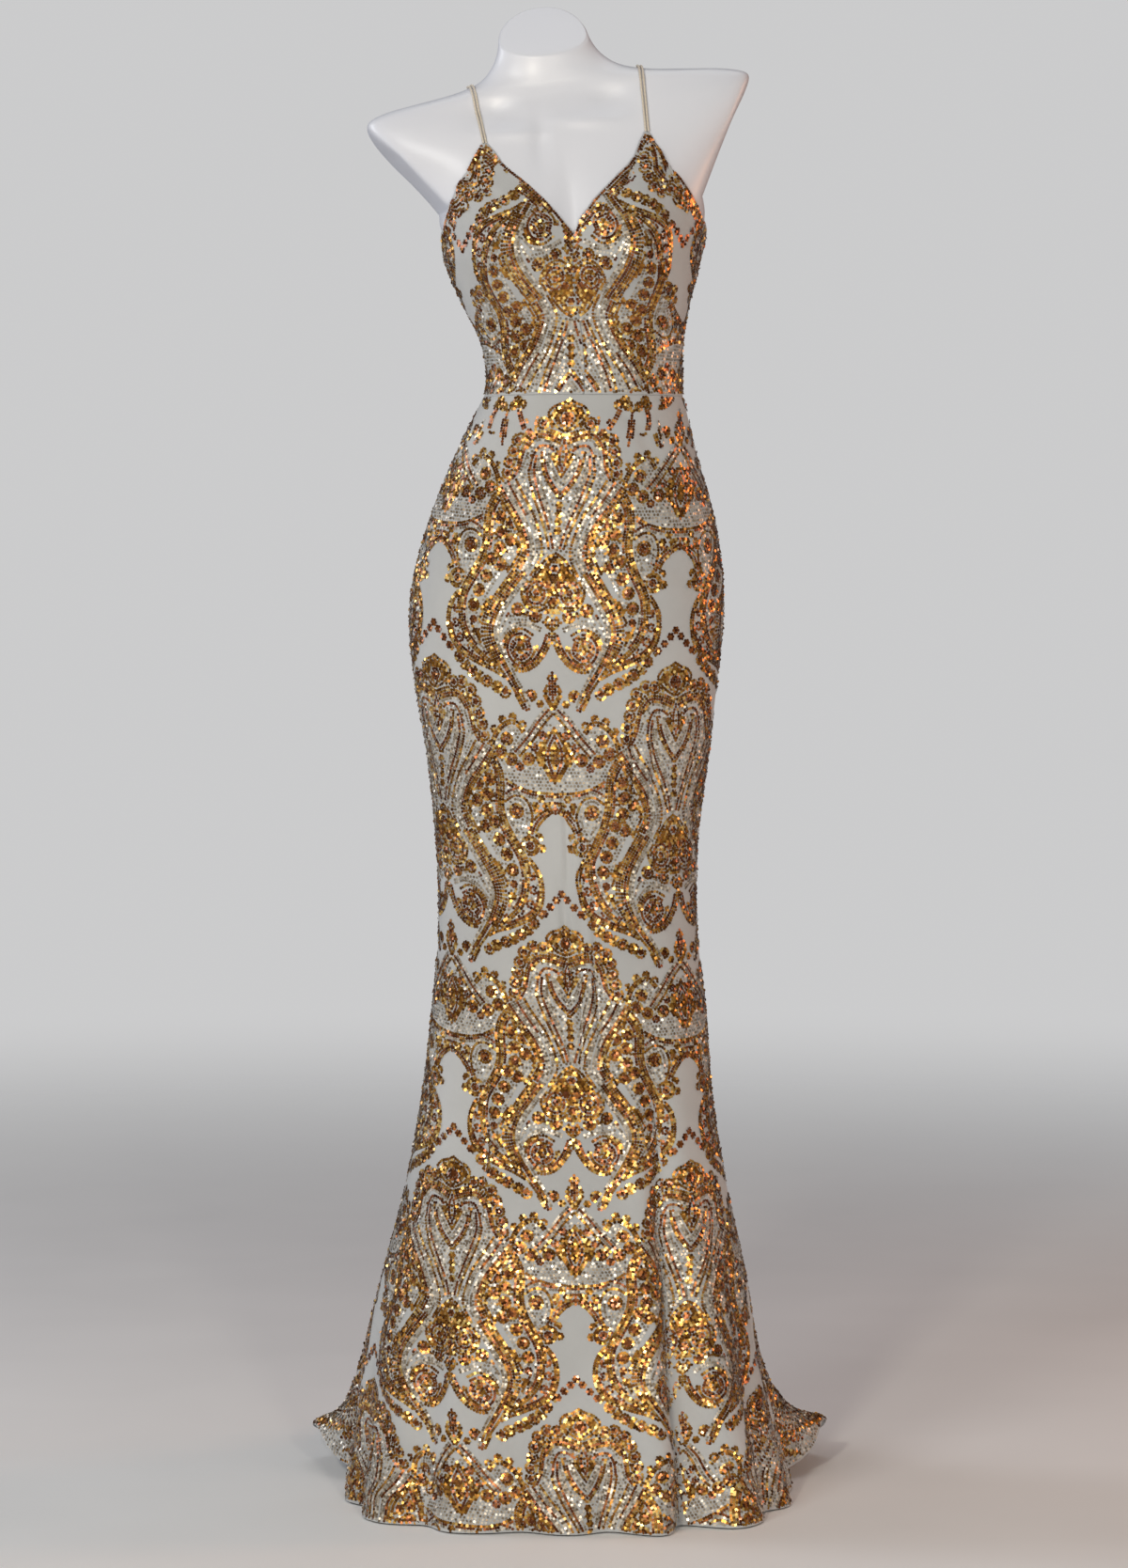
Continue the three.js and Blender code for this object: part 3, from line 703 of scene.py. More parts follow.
# %% The damask's chart
# Each entry says how it is laid, its finish, its size, and where. Earlier entries win where two
# meet. A braid is several rows side by side: each has its finish and its distance from the middle
# line, towards the axis, at the start, the middle and the end.
LINE, WIDE = (2.6, 2.6, 2.6), (5.4, 5.4, 5.4)
BUD = [
    band(G, LINE, [(0, 1), (7, 5), (15, 8), (20, 15), (16, 23), (9, 29), (2, 33)]),
    dots(B, 5.2, [(0, 20)]),
    fill(G, [(0, 0), (7, 6), (15, 9), (19, 15), (15, 23), (8, 29), (0, 34), (-4, 20)]),
]
CROWN = [
    eyed(2.2, 5.4, [(24, 25), (34, 24), (44, 31), (49, 42), (52, 53), (55, 64), (56, 75)]),
    braid([(G, -4.2, -5.0, -3), (G, -1.4, -2.2, 0), (B, 1.4, 0.6, 2), (G, 4.2, 3.4, 0), (C, 7, 6.2, 3)], [
        (3, 41), (17, 36), (30, 36), (39, 46), (43, 58), (46, 70), (53, 82),
    ]),
    band(B, LINE, [(10, 52), (16, 48), (25, 48), (31, 58), (33, 70)]),
]
HEART = [
    band(B, LINE, [(0, 42), (3, 52), (3, 62), (0, 72)]),
    fill(G, [(0, 36), (9, 43), (13, 52), (9, 64), (0, 79), (-4, 60)]),
    band(C, (5, 5, 3), [(16, 56), (13, 66), (7, 77), (0, 87)]),
    braid([(B, 1.4, 1.4, 1.4), (G, -1.4, -1.4, -1.4)], [(21, 54), (18, 70), (11, 84), (0, 98)]),
    dots(G, 2.8, [(0, 106), (0, 114), (0, 122), (0, 131)]),
    braid(
        [(C, 4.2, 4.2, 1), (C, 1.4, 1.4, 0), (B, -1.4, -1.4, -1), (C, -4.2, -4, -3), (G, -7, -6.6, -5)],
        [(26, 58), (27, 74), (21, 94), (13, 114), (6, 134), (2, 150)],
    ),
]
HOURGLASS = [
    braid(
        [
            (G, 8.6, 7, 6), (C, 5.8, 4.4, 4), (C, 3, 2, 1.4), (B, 0.2, 0, 0), (C, -2.8, -2.2, -1.4),
            (C, -5.6, -4.6, -4), (B, -8.4, -7.2, -6.8), (G, -11.2, -10, -9.6), (G, -14, -12.8, -12.4),
        ],
        [(55, 84), (45, 100), (32, 119), (24, 138), (21, 155), (29, 172)],
    ),
    braid(
        [
            (C, 5.6, 5.0, 2.0), (C, 2.8, 2.2, 1.0), (G, 0, -0.6, 0), (B, -2.8, -3.4, -2.0),
            (G, -5.6, -6.2, -3), (G, -8.4, -9.0, -4), (G, -11.2, -11.8, -5),
        ],
        [(29, 172), (43, 192), (56, 213), (61, 232), (55, 250), (44, 270), (33, 288), (26, 304)],
    ),
]
ROSETTE = [
    dots(B, 2.6, [(0, 168), (0, 200), (6, 184)]),
    band(G, LINE, [(0, 153), (9, 159), (18, 170), (28, 181), (32, 193), (26, 206), (14, 210), (6, 206)]),
    band(B, LINE, [(9, 187), (16, 181), (25, 187), (25, 199), (16, 203), (9, 197), (9, 187)]),
    dots(B, 2.0, [(17, 192)]),
    fill(G, [(0, 152), (18, 170), (29, 182), (31, 194), (24, 206), (12, 210), (0, 212), (-4, 180)]),
    eyed(2.2, 6.6, [(0, 221)]),
    band(G, (8, 6, 5), [(0, 226), (0, 233), (0, 241)]),
    eyed(2.8, 5.6, [(17, 215), (35, 209)]),
    band(G, WIDE, [(6, 221), (12, 218), (28, 212)]),
]
VOLUTE = [
    braid([(G, 2.8, 2.6, 2.0), (G, 0, 0, 0), (B, -2.8, -2.8, -2.6)], [
        (2, 232), (8, 248), (19, 262), (33, 267), (45, 259), (49, 246), (43, 234), (31, 230), (21, 235),
    ]),
    band(B, WIDE, [(25, 240), (23, 250), (32, 257), (41, 250), (38, 241), (31, 240)]),
    band(G, (1, 6, 1), [(44, 237), (36, 236), (28, 243), (29, 251), (36, 251)]),
    band(G, (1, 5, 1), [(20, 238), (16, 248), (22, 259), (33, 263)]),
    fill(G, [(22, 238), (32, 234), (44, 237), (46, 250), (38, 262), (26, 262), (18, 250)]),
    braid([(C, 1.4, 1.4, 1.4), (C, -1.4, -1.4, -1.4)], [(12, 228), (26, 223), (40, 226), (51, 238)]),
    band(C, LINE, [(24, 217), (38, 214), (49, 222), (54, 234)]),
    dots(B, 2.4, [(44, 216), (52, 226)]),
]
BODY_SPOTS = [(53, 108), (61, 119), (48, 124), (58, 134), (47, 141), (58, 150)]
BODY_SPOTS += [(66, 161), (56, 166), (70, 178)]
BODY = [
    dots(B, 2.9, BODY_SPOTS + [(77, 192), (82, 207), (82, 221)]),
    rings(G, 5.5, BODY_SPOTS + [(77, 192), (82, 207)]),
    braid([(B, 4.2, 4.2, 2.8), (G, 1.4, 1.4, 0), (G, -1.4, -1.4, -2.8), (G, -4.2, -4.2, -5)], [
        (63, 96), (71, 110), (73, 126), (72, 144), (76, 162), (85, 180), (93, 196), (95, 212),
    ]),
    fill(C, [
        (52, 100), (66, 112), (68, 140), (72, 168), (84, 192), (88, 214), (78, 230), (72, 204), (56, 178),
        (42, 156), (42, 128),
    ]),
    braid([(C, 5.0, 3.4, 2.0), (B, 2.2, 1.4, 1.4), (G, -0.6, -1.4, -1.4), (G, -3.4, -4.2, -2)], [
        (95, 212), (92, 228), (84, 242), (69, 255), (52, 268), (37, 288),
    ]),
]
LEAF = [
    braid([(G, 0, 0, 0), (G, 2.8, 2.8, 2.6), (B, 4.0, 5.6, 4)], [
        (88, 185), (99, 193), (109, 207), (112, 224), (108, 242), (96, 255), (77, 264), (57, 272),
        (41, 284), (28, 306),
    ]),
    dots(B, 3.6, [(101, 212), (102, 226), (97, 240), (86, 250)]),
    fill(C, [(94, 198), (104, 210), (107, 226), (102, 242), (88, 252), (68, 262), (92, 240), (98, 222)]),
    band(B, WIDE, [(35, 290), (30, 298), (26, 307)]),
]
EYE = [
    dots(B, 3.8, [(90, 148)]),
    rings(G, 6.6, [(90, 148)]),
    band(C, LINE, [(99, 163), (101, 151), (97, 139), (88, 137), (81, 145), (83, 158), (91, 169)]),
    band(G, LINE, [(104, 166), (106, 150), (100, 136), (89, 133), (79, 139)]),
    braid([(C, -1.4, -1.4, -1.4), (B, 1.4, 1.4, 1.4)], [
        (93, 126), (82, 131), (76, 142), (77, 158), (85, 170), (94, 179),
    ]),
    eyed(3.0, 9.0, [(102, 182)]),
    dots(G, 3.0, [(112, 173), (114, 184)]),
    braid([(B, 0, 0, 0), (G, 2.8, 3.4, 2), (G, -2.8, -3.4, -2)], [
        (104, 172), (110, 159), (118, 151), (128, 145),
    ]),
    dots(G, 2.8, [(110, 142), (116, 135), (121, 142)]),
]
GARLAND = [
    dots(B, 2.8, [(110, 249), (117, 242), (124, 235), (130, 229)]),
    band(G, WIDE, [(106, 252), (115, 243), (123, 235), (130, 230)]),
    dots(B, 2.2, [(98, 259), (84, 272), (68, 281), (49, 290)]),
    dots(G, 5.0, [(98, 259), (84, 272), (92, 266), (68, 281), (76, 277), (49, 291), (57, 286)]),
]
SPEAR = [
    band(B, (3, 8, 4), [(0, 270), (0, 284), (0, 297)]),
    fill(G, [(0, 266), (5, 277), (9, 291), (6, 302), (0, 307), (-4, 290)]),
    dots(B, 2.4, [(22, 293)]),
    dots(G, 5.0, [(22, 293), (30, 298)]),
    dots(G, 2.6, [(13, 301)]),
]
TENT = [
    braid([(G, 2.8, 3, 3), (C, 0, 0, 0), (B, -2.8, -3, -3), (C, -5.6, -5.8, -6)], [
        (3, 309), (13, 320), (24, 335), (38, 351),
    ]),
    dots(B, 3.2, [(12, 332), (21, 344), (27, 356), (36, 364), (49, 337), (56, 350), (45, 357)]),
    rings(G, 5.6, [(49, 337), (56, 350), (45, 357), (27, 356)]),
    braid([(G, 0, 0, 0), (G, 2.8, 2.8, 2.8)], [
        (29, 330), (37, 320), (47, 319), (58, 327), (65, 340), (67, 353),
    ]),
    dots(G, 3.0, [(32, 322), (42, 315), (53, 318), (62, 328), (68, 341)]),
    fill(C, [(34, 330), (40, 322), (54, 326), (62, 340), (60, 352), (44, 350)]),
]
LENS = [
    band(B, LINE, [(0, 332), (6, 344), (7, 356), (3, 368), (0, 374)]),
    fill(G, [(0, 322), (8, 332), (19, 346), (19, 356), (10, 368), (0, 379), (-4, 350)]),
    braid([(G, 0, 0, 0), (B, 2.8, 2.8, 2.8), (C, 5.6, 5.6, 5.6)], [
        (0, 390), (24, 388), (44, 381), (58, 370), (67, 353),
    ]),
    fill(C, [
        (8, 316), (24, 336), (40, 352), (52, 342), (62, 350), (56, 370), (36, 382), (12, 386), (0, 388),
        (0, 380), (16, 362), (20, 350), (8, 328),
    ]),
]
STEM = [
    band(B, (8, 5, 5), [(0, 391), (0, 399), (0, 409)]),
    dots(G, 3.0, [(6, 396)]),
    braid([(G, 1.4, 2.8, 1.4), (B, -1.4, 0, -1.4), (G, -4.2, -2.8, -1)], [
        (4, 405), (13, 406), (21, 414), (27, 425),
    ]),
    dots(B, 2.4, [(12, 399), (19, 407)]),
]
GROUNDS = [
    fill(G, [(8, 34), (24, 21), (46, 28), (56, 50), (60, 78), (52, 84), (46, 62), (36, 42), (20, 38)]),
    fill(G, [(60, 86), (72, 104), (64, 150), (48, 174), (36, 162), (38, 132), (52, 106)]),
    fill(G, [
        (60, 196), (76, 206), (86, 226), (70, 252), (48, 276), (40, 284), (56, 252), (64, 232), (60, 214),
    ]),
    fill(C, [(0, 40), (24, 44), (38, 60), (48, 84), (38, 108), (22, 138), (16, 156), (0, 151), (-4, 90)]),
    fill(C, [(80, 130), (98, 132), (107, 146), (102, 170), (92, 182), (80, 166), (74, 146)]),
    fill(C, [(8, 312), (20, 318), (40, 346), (60, 356), (50, 372), (20, 384), (0, 386), (0, 330)]),
    fill(C, [(14, 228), (26, 215), (48, 210), (58, 230), (54, 250), (50, 238), (40, 226), (24, 224)]),
]
CHART = BUD + CROWN + HEART + HOURGLASS + ROSETTE + VOLUTE + BODY + LEAF + EYE
CHART += GARLAND + SPEAR + TENT + LENS + STEM + GROUNDS
print(len(CHART), "entries in the chart")


# %% Working the chart
def fold(x, y):
    """Where a place on the cloth lies in the smallest piece that repeats."""
    x = np.abs((x + COLUMN) % (2 * COLUMN) - COLUMN)
    over = x > COLUMN / 2
    return np.where(over, COLUMN - x, x), (np.where(over, y - REPEAT / 2, y)) % REPEAT


def work(chart):
    """Lay every row of the chart in turn, leaving out sequins that would sit on earlier ones."""
    kept = []
    cells = {}
    for entry in chart:
        for finish, laid in entry:
            laid = laid[laid[:, 0] > -0.9]
            laid[laid[:, 0] < 0.9, 0] = 0
            for x, y in np.stack(fold(*laid.T), axis=1):
                i, j = int(x // 4), int(y // 4)
                near = [q for m in (-1, 0, 1) for n in (-1, 0, 1) for q in cells.get((i + m, j + n), [])]
                if any((x - a) ** 2 + (y - b) ** 2 < CLOSE**2 for a, b in near):
                    continue
                kept.append((x, y, finish))
                for a, b in [(x, y), (-x, y), (COLUMN - x, (y + REPEAT / 2) % REPEAT)]:
                    for c in (b - REPEAT, b, b + REPEAT):
                        if -5 < a < COLUMN / 2 + 5 and -5 < c < REPEAT + 5:
                            cells.setdefault((int(a // 4), int(c // 4)), []).append((a, c))
    return kept


SEQUINS = work(CHART)
print("sequins in the smallest repeat:", len(SEQUINS))


# %% [markdown]
# ## Sewing on the sequins
# A sequin is a thin disc held by a thread through its middle, so each lies nearly flat and tips a
# little its own way. That tipping is what makes the cloth glitter: only a few face the light at
# once. Thousands of six-sided discs are joined in one mesh for each panel and colour.

# %% Making the sequins
# Radii in millimetres, how far a sequin usually tips and at most, and how high it is sewn.
SIZES = {G: 1.75, B: 1.7, C: 1.5}
TIPS = {G: 15.0, B: 13.0, C: 17.0}
MOST_TIP = 0.75
SEWN_UP = 0.25


def tile():
    """Every sequin of one whole repeat, two columns wide."""
    x = np.array([s[0] for s in SEQUINS])
    y = np.array([s[1] for s in SEQUINS])
    finish = np.array([s[2] for s in SEQUINS])
    on_axis = x < 0.1
    on_fold = x > COLUMN / 2 - 0.1
    mirror = ~on_axis
    xs = [x, -x[mirror]]
    ys = [y, y[mirror]]
    fs = [finish, finish[mirror]]
    drop = ~on_fold
    xs += [COLUMN - x[drop], x[drop & mirror] + COLUMN]
    ys += [(y[drop] + REPEAT / 2), (y[drop & mirror] + REPEAT / 2)]
    fs += [finish[drop], finish[drop & mirror]]
    return np.concatenate(xs), np.concatenate(ys) % REPEAT, np.concatenate(fs)


def spread_tile(low, high):
    """The repeat laid over a stretch of cloth."""
    x, y, finish = tile()
    out = []
    wide = 2 * COLUMN
    for i in range(math.floor(low[0] / wide) - 1, math.ceil(high[0] / wide) + 2):
        for j in range(math.floor(low[1] / REPEAT) - 1, math.ceil(high[1] / REPEAT) + 2):
            out.append((x + i * wide, y + j * REPEAT, finish))
    u, v, f = (np.concatenate(c) for c in zip(*out))
    held = (u > low[0]) & (u < high[0]) & (v > low[1]) & (v < high[1])
    return u[held], v[held], f[held]


def discs(name, middle, out, along, radius, tip, rng):
    """One mesh of six-sided discs, each tipped its own way."""
    n = len(middle)
    turn = rng.uniform(0, 2 * np.pi, n)
    lean = np.abs(rng.normal(0, math.radians(tip), n)).clip(0, MOST_TIP)
    across = np.cross(out, along)
    way = along * np.cos(turn)[:, None] + across * np.sin(turn)[:, None]
    face = out * np.cos(lean)[:, None] + way * np.sin(lean)[:, None]
    e1 = np.cross(face, way)
    e1 /= np.linalg.norm(e1, axis=1, keepdims=True) + 1e-9
    e2 = np.cross(face, e1)
    lifted = middle + out * (SEWN_UP + radius * np.sin(lean) * 0.9)[:, None]
    size = radius * rng.uniform(0.93, 1.05, n)
    start = rng.uniform(0, 1.0, n)
    points = np.empty((n, 6, 3))
    for k in range(6):
        a = start + k * np.pi / 3
        points[:, k] = lifted + (e1 * np.cos(a)[:, None] + e2 * np.sin(a)[:, None]) * size[:, None]
    points[..., 2] = np.maximum(points[..., 2], OFF_FLOOR)
    mesh = bpy.data.meshes.new(name)
    mesh.vertices.add(n * 6)
    mesh.vertices.foreach_set("co", (points * MM).ravel())
    mesh.loops.add(n * 6)
    mesh.loops.foreach_set("vertex_index", np.arange(n * 6))
    mesh.polygons.add(n)
    mesh.polygons.foreach_set("loop_start", np.arange(n) * 6)
    tone = mesh.attributes.new("tone", "FLOAT", "POINT")
    tone.data.foreach_set("value", np.repeat(rng.uniform(0, 1, n), 6))
    mesh.update(calc_edges=True)
    return put(name, mesh)


# %% [markdown]
# ## Motifs of a panel's own
# A cutter lays a few motifs by hand where the repeat would be cut through by a seam. They are
# charted like the rest, and blank oblongs are left in the repeat to make room for them.

# %% Motifs of a panel's own
def place_own(chart):
    """Rows of a chart that doesn't repeat, on both sides of the axis."""
    kept = []
    rows = []
    for entry in chart:
        for finish, laid in entry:
            fresh = [p for p in laid if all(np.hypot(*(p - q)) > CLOSE for q in kept)]
            kept += fresh
            if fresh:
                fresh = np.array(fresh)
                both = np.concatenate([fresh, fresh * [-1, 1]])
                rows.append((both[:, 0], both[:, 1], np.full(len(both), finish)))
    return rows


# %% Sewing them on one panel
SEQUIN_PIECES = []
BORDER_GAP = 2.1


def sew(panel, surface, table, axes, within, seed, own=None, border=None):
    """Sequins of the three finishes over one panel; within says which places are cloth.

    own is a chart of the panel's own, with the stretches of the repeat that it stands in for;
    border is rows already placed on the surface, along an edge.
    """
    us, vs, places = table
    low = (us[0], vs[0])
    high = (us[-1], vs[-1])
    u, v, finish = spread_tile(low, high)
    if own:
        chart, blanks = own
        for x0, y0, x1, y1 in blanks:
            keep = (np.abs(u) < x0) | (np.abs(u) > x1) | (v < y0) | (v > y1)
            u, v, finish = u[keep], v[keep], finish[keep]
        for more_u, more_v, more in place_own(chart):
            u = np.concatenate([u, more_u])
            v = np.concatenate([v, more_v])
            finish = np.concatenate([finish, more])
    at = look_up(us, vs, places, u, v)
    ok = ~np.isnan(at[:, 0])
    at, finish = at[ok], finish[ok]
    ok = within(at[:, 0], at[:, 1])
    at, finish = at[ok], finish[ok]
    if border is not None:
        kinds, edge_at = border
        ok = within(edge_at[:, 0], edge_at[:, 1])
        kinds, edge_at = kinds[ok], edge_at[ok]
        here = surface(at[:, 0], at[:, 1])
        edge_here = surface(edge_at[:, 0], edge_at[:, 1])
        gap = np.min(np.linalg.norm(here[:, None] - edge_here[None], axis=2), axis=1)
        free = gap > BORDER_GAP
        at = np.concatenate([at[free], edge_at])
        finish = np.concatenate([finish[free], kinds])
    here, out, along = frames(surface, at[:, 0], at[:, 1], *axes)
    rng = np.random.default_rng(seed)
    for kind in (G, B, C):
        these = finish == kind
        if these.sum() == 0:
            continue
        base = here[these] + out[these] * SHELL
        name = f"sequins_{kind}_{panel}"
        obj = discs(name, base, out[these], along[these], SIZES[kind], TIPS[kind], rng)
        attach(obj, "root")
        SEQUIN_PIECES.append((obj, kind))
        print(name, int(these.sum()))


# %% [markdown]
# ## The skirt
# Three panels: one front and two backs that run out into the train. The front is shaped in at the
# side seams to the knee and flares below. Its hem is a narrow edge turned up and stitched, which
# stands a little thicker than the cloth.

# %% Finishing a panel
PANELS = {}


def finish_panel(name, cloth, fine, chart_way, within, seed, **more):
    """Close one panel's shell, hang it on the frame's root in place of its solid part, and sew on its
    sequins.

    cloth is the surface, its steps, the grid's places and how far each is drawn in; fine is the
    closer grid that lays it flat; chart_way is the damask's axis and its drop.
    """
    surface, steps, a, b, dips = cloth
    across, drop = flatten(surface, *fine, *chart_way)
    flat = np.stack([look_grid(*fine, values, a, b) for values in (across, drop)], axis=-1)
    panel = shell(name + "_cloth", *frames(surface, a, b, *steps), dips, flat)
    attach(panel, "root")
    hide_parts(name)
    PANELS[name] = panel
    sew(name, surface, unflatten(*fine, across, drop), steps, within, seed, **more)
    print(name, "faces", len(panel.data.polygons), "down", int(np.ptp(drop)), "mm")


def row_widths(points):
    """How wide each row of a grid is."""
    return np.linalg.norm(np.diff(points, axis=1), axis=-1).sum(axis=1)[:, None]


def centre_back(side):
    """The centre back as the damask's axis, on the left (-1) or the right (1)."""
    return lambda places: np.full(len(places), side * 180.0)


# %% Skirt panels
SKIRT_LENGTH = 1170
SKIRT_ROWS = 168
SKIRT_STEPS = (0.004, 0.05)
COLUMN_STEP = 6.5


def skirt_panel(name, start, end, columns, axis_turn, seed, own=None):
    """One skirt panel between two turns, drawn in at its seams and the stitching of its hem."""
    levels = spaced(SKIRT_LENGTH, SKIRT_LENGTH / SKIRT_ROWS) * HEM
    turns = start + (end - start) * spaced(columns * COLUMN_STEP, COLUMN_STEP)
    a, b = np.meshgrid(levels, turns, indexing="ij")
    from_top = np.abs(a) / HEM * SKIRT_LENGTH
    from_hem = (HEM - a) / HEM * SKIRT_LENGTH
    width = row_widths(skirt_point(a, b))
    side = np.minimum(b - start, end - b) / (end - start) * width
    dips = 0.5 * bell(side, 2.6) + 0.5 * bell(from_top, 2.4)
    dips -= 0.35 * smooth((9 - from_hem) / 2.5)
    dips += 0.3 * bell(from_hem - 9.5, 1.6)
    fine = (np.linspace(0, HEM, 301), np.linspace(start, end, int(abs(end - start) * 2.5)))

    def within(level, turn):
        wide = np.interp(level, levels, width[:, 0])
        edge = np.minimum(turn - start, end - turn) / (end - start) * wide
        return (edge > 1.6) & (level > 0.03) & (level < HEM - 0.05)

    cloth = (skirt_point, SKIRT_STEPS, a, b, dips)
    finish_panel(name, cloth, fine, (axis_turn, skirt_drop), within, seed, own=own)


# Under the waist seam the front has three leaves hanging from a sprig on each side of its bud.
SPRIG = [
    band(B, (3, 9, 3), [(66, 14), (67, 28), (66, 47)]),
    band(G, (5, 11, 4), [(66, 12), (67, 28), (66, 45)]),
    band(B, (3, 6, 3), [(82, 12), (85, 20), (86, 30)]),
    band(B, (3, 6, 3), [(52, 12), (49, 20), (44, 30)]),
    dots(G, 4.0, [(50, 6), (60, 7), (72, 8), (82, 7), (56, 2), (78, 2)]),
    dots(B, 2.6, [(38, 34), (44, 24)]),
]
FRONT_OWN = (SPRIG, [(34, -40, 96, 34), (22, -40, 40, 12)])
skirt_panel("skirt_front", -90, 90, 84, front_axis, 11, FRONT_OWN)
skirt_panel("skirt_back_left", -180, -90, 66, centre_back(-1), 12)
skirt_panel("skirt_back_right", 90, 180, 66, centre_back(1), 13)


# %% [markdown]
# ## The bodice
# Two fronts meet at the centre under the V, and two backs at the centre back. Each is a strip of
# cloth from the waist seam up to its own edge, close over the cups. The edges are turned in. A
# worker finishes such an edge by hand, with rows that follow it and hide the turning.

# %% Rows of sequins along an edge
# Each row: how far under the edge, its finish, and how high a wave must be for a sequin there.
EDGE_ROWS = [(1.9, B, -2.0), (4.4, G, -0.55), (6.9, B, -0.25), (9.4, G, 0.1), (11.9, B, 0.4)]
EDGE_END = 1.4
EDGE_PITCH = 2.7


def edge_row(turn_top, top):
    """Rows of sequins under the top edge: the first runs all along it, the others in leaves."""
    order = np.argsort(turn_top)
    turns = np.linspace(turn_top[order[0]], turn_top[order[-1]], 400)
    heights = np.interp(turns, turn_top[order], top[order])
    line = bodice_point(heights, turns)
    along = lengths(line)
    level = lengths(line[:, :2])
    slant = np.sqrt(1 + (np.gradient(heights) / np.maximum(np.gradient(level), 0.02)) ** 2)
    rows = []
    for down, finish, threshold in EDGE_ROWS:
        place = np.arange(EDGE_END, along[-1] - EDGE_END, EDGE_PITCH)
        wave = np.sin(place / 11.0 + 0.4) + 0.5 * np.sin(place / 4.7)
        place = place[wave > threshold]
        at = np.interp(place, along, turns)
        under = down * np.minimum(np.interp(place, along, slant), 3.0)
        rows.append((np.stack([np.interp(at, turns, heights) - under, at], axis=1), finish))
    places = np.concatenate([r for r, _ in rows])
    kinds = np.concatenate([np.full(len(r), f) for r, f in rows])
    return kinds, places


# %% Bodice panels
BODICE_STEPS = (-0.4, 0.05)
# Where the waist seam lies in the bodice's chart, and how long a repeat is when worn.
BODICE_CHART = 75.6
BODICE_REPEAT = 536


def bodice_drop(down):
    return BODICE_CHART + down * REPEAT / BODICE_REPEAT


def bodice_panel(name, side, front, seed):
    """One bodice panel, drawn in at its seams and a little thicker at its turned edge."""
    if front:
        shares = spaced(185, 6.0)
        top = np.interp(shares, STRIPS, TOPS[side][:, 0])
        turn_top = np.interp(shares, STRIPS, TOPS[side][:, 1])
        turn_low = side * 90 * shares
    else:
        shares = spaced(160, 6.5)
        top = back_top(side, shares)
        turn_top = side * (90 + 90 * shares)
        turn_low = turn_top
    if side < 0:
        top, turn_top, turn_low = top[::-1], turn_top[::-1], turn_low[::-1]
    rises = 1 - spaced(200, 5.5)[:, None]
    a = WAIST_SEAM + SEAM + (top[None] - WAIST_SEAM - SEAM) * rises
    b = turn_low[None] + (turn_top - turn_low)[None] * rises
    along_row = np.linspace(0, 1, len(shares))[None]
    side_gap = np.minimum(along_row, 1 - along_row) * row_widths(bodice_point(a, b))
    from_edge = (top[None] - a).clip(0)
    dips = 0.45 * bell(side_gap, 2.4) + 0.5 * bell(a - WAIST_SEAM, 2.4)
    dips -= 0.3 * smooth((6 - from_edge) / 2)
    start, end = sorted([0, side * 90] if front else [side * 90, side * 180])
    fine = (np.linspace(WAIST_SEAM, 1440, 149), np.linspace(start, end, 226))
    order = np.argsort(turn_top)

    def within(height, turn):
        limit = np.interp(turn, turn_top[order], top[order])
        edge = np.minimum(turn - start, end - turn)
        return (height < limit - 2.2) & (height > WAIST_SEAM + 2.4) & (edge > 0.7)

    chart_way = (bodice_axis if front else centre_back(side), bodice_drop)
    cloth = (bodice_point, BODICE_STEPS, a, b, dips)
    finish_panel(name, cloth, fine, chart_way, within, seed, border=edge_row(turn_top, top))


bodice_panel("bodice_front_left", -1, True, 21)
bodice_panel("bodice_front_right", 1, True, 22)
bodice_panel("bodice_back_left", -1, False, 23)
bodice_panel("bodice_back_right", 1, False, 24)


# %% [markdown]
# ## The dress form
# The form is a smooth lacquered shell with no limbs: a trunk, shoulders that end in slanted
# oval cuts, and a neck cut off on a slant. It is the same trunk as the bodice, set in by the
# cloth and a little air, and its cuts are rounded where the shell was trimmed.

# %% The form
def soft_least(a, b, round_by):
    """The smaller of two lengths, rounded off where they cross."""
    return -round_by * np.logaddexp(-a / round_by, -b / round_by)


# Each hollow: across and up, how wide and tall, and how deep; the collar's ridges are negative.
HOLLOWS = [
    (-72, 1431, 24, 15, 8.0),
    (48, 1446, 22, 14, 7.0),
    (-24, 1404, 9, 30, 4.0),
    (-54, 1412, 34, 8, -3.4),
    (22, 1425, 34, 8, -3.4),
    (6, 1330, 13, 44, 3.0),
]


# The stumps' cuts: how far out at the armpit, and how fast they go out above it and below.
ARMPIT = 1340
LEFT_CUT = (-124, 0.736, 0.4)
RIGHT_CUT = (141, 0.464, 0.4)


def cut_back(p):
    """The arms' stumps cut flat with rounded rims, and the hollows of the collar and breast."""
    x, y, z = p[..., 0], p[..., 1], p[..., 2]
    height = z - tilt_at(z) * (x + 6)
    above = np.maximum(height - ARMPIT, 0)
    below = np.maximum(ARMPIT - height, 0)
    out, rise, sink = LEFT_CUT
    low = out - rise * above - sink * below - 0.19 * y * np.clip(1 - below / 30, 0, 1)
    out, rise, sink = RIGHT_CUT
    high = out + rise * above + sink * below
    soft = 2.2 + 7.5 * smooth((height - 1405) / 45)
    x = -soft_least(-x, 0.65 * soft - low, soft)
    x = soft_least(x, 0.65 * soft + high, soft)
    for across, up, wide, tall, deep in HOLLOWS:
        hollow = np.exp(-(((x - across) / wide) ** 2) - ((z - up) / tall) ** 2)
        y = y + np.where(y < 0, deep * hollow, 0)
    return np.stack([x, y, z], axis=-1)


FORM_FOOT = 800.0


def neck_top(x, y):
    """The slanted plane that the neck is cut off at."""
    return 1518 + 0.78 * y + 0.1 * (x + 24)


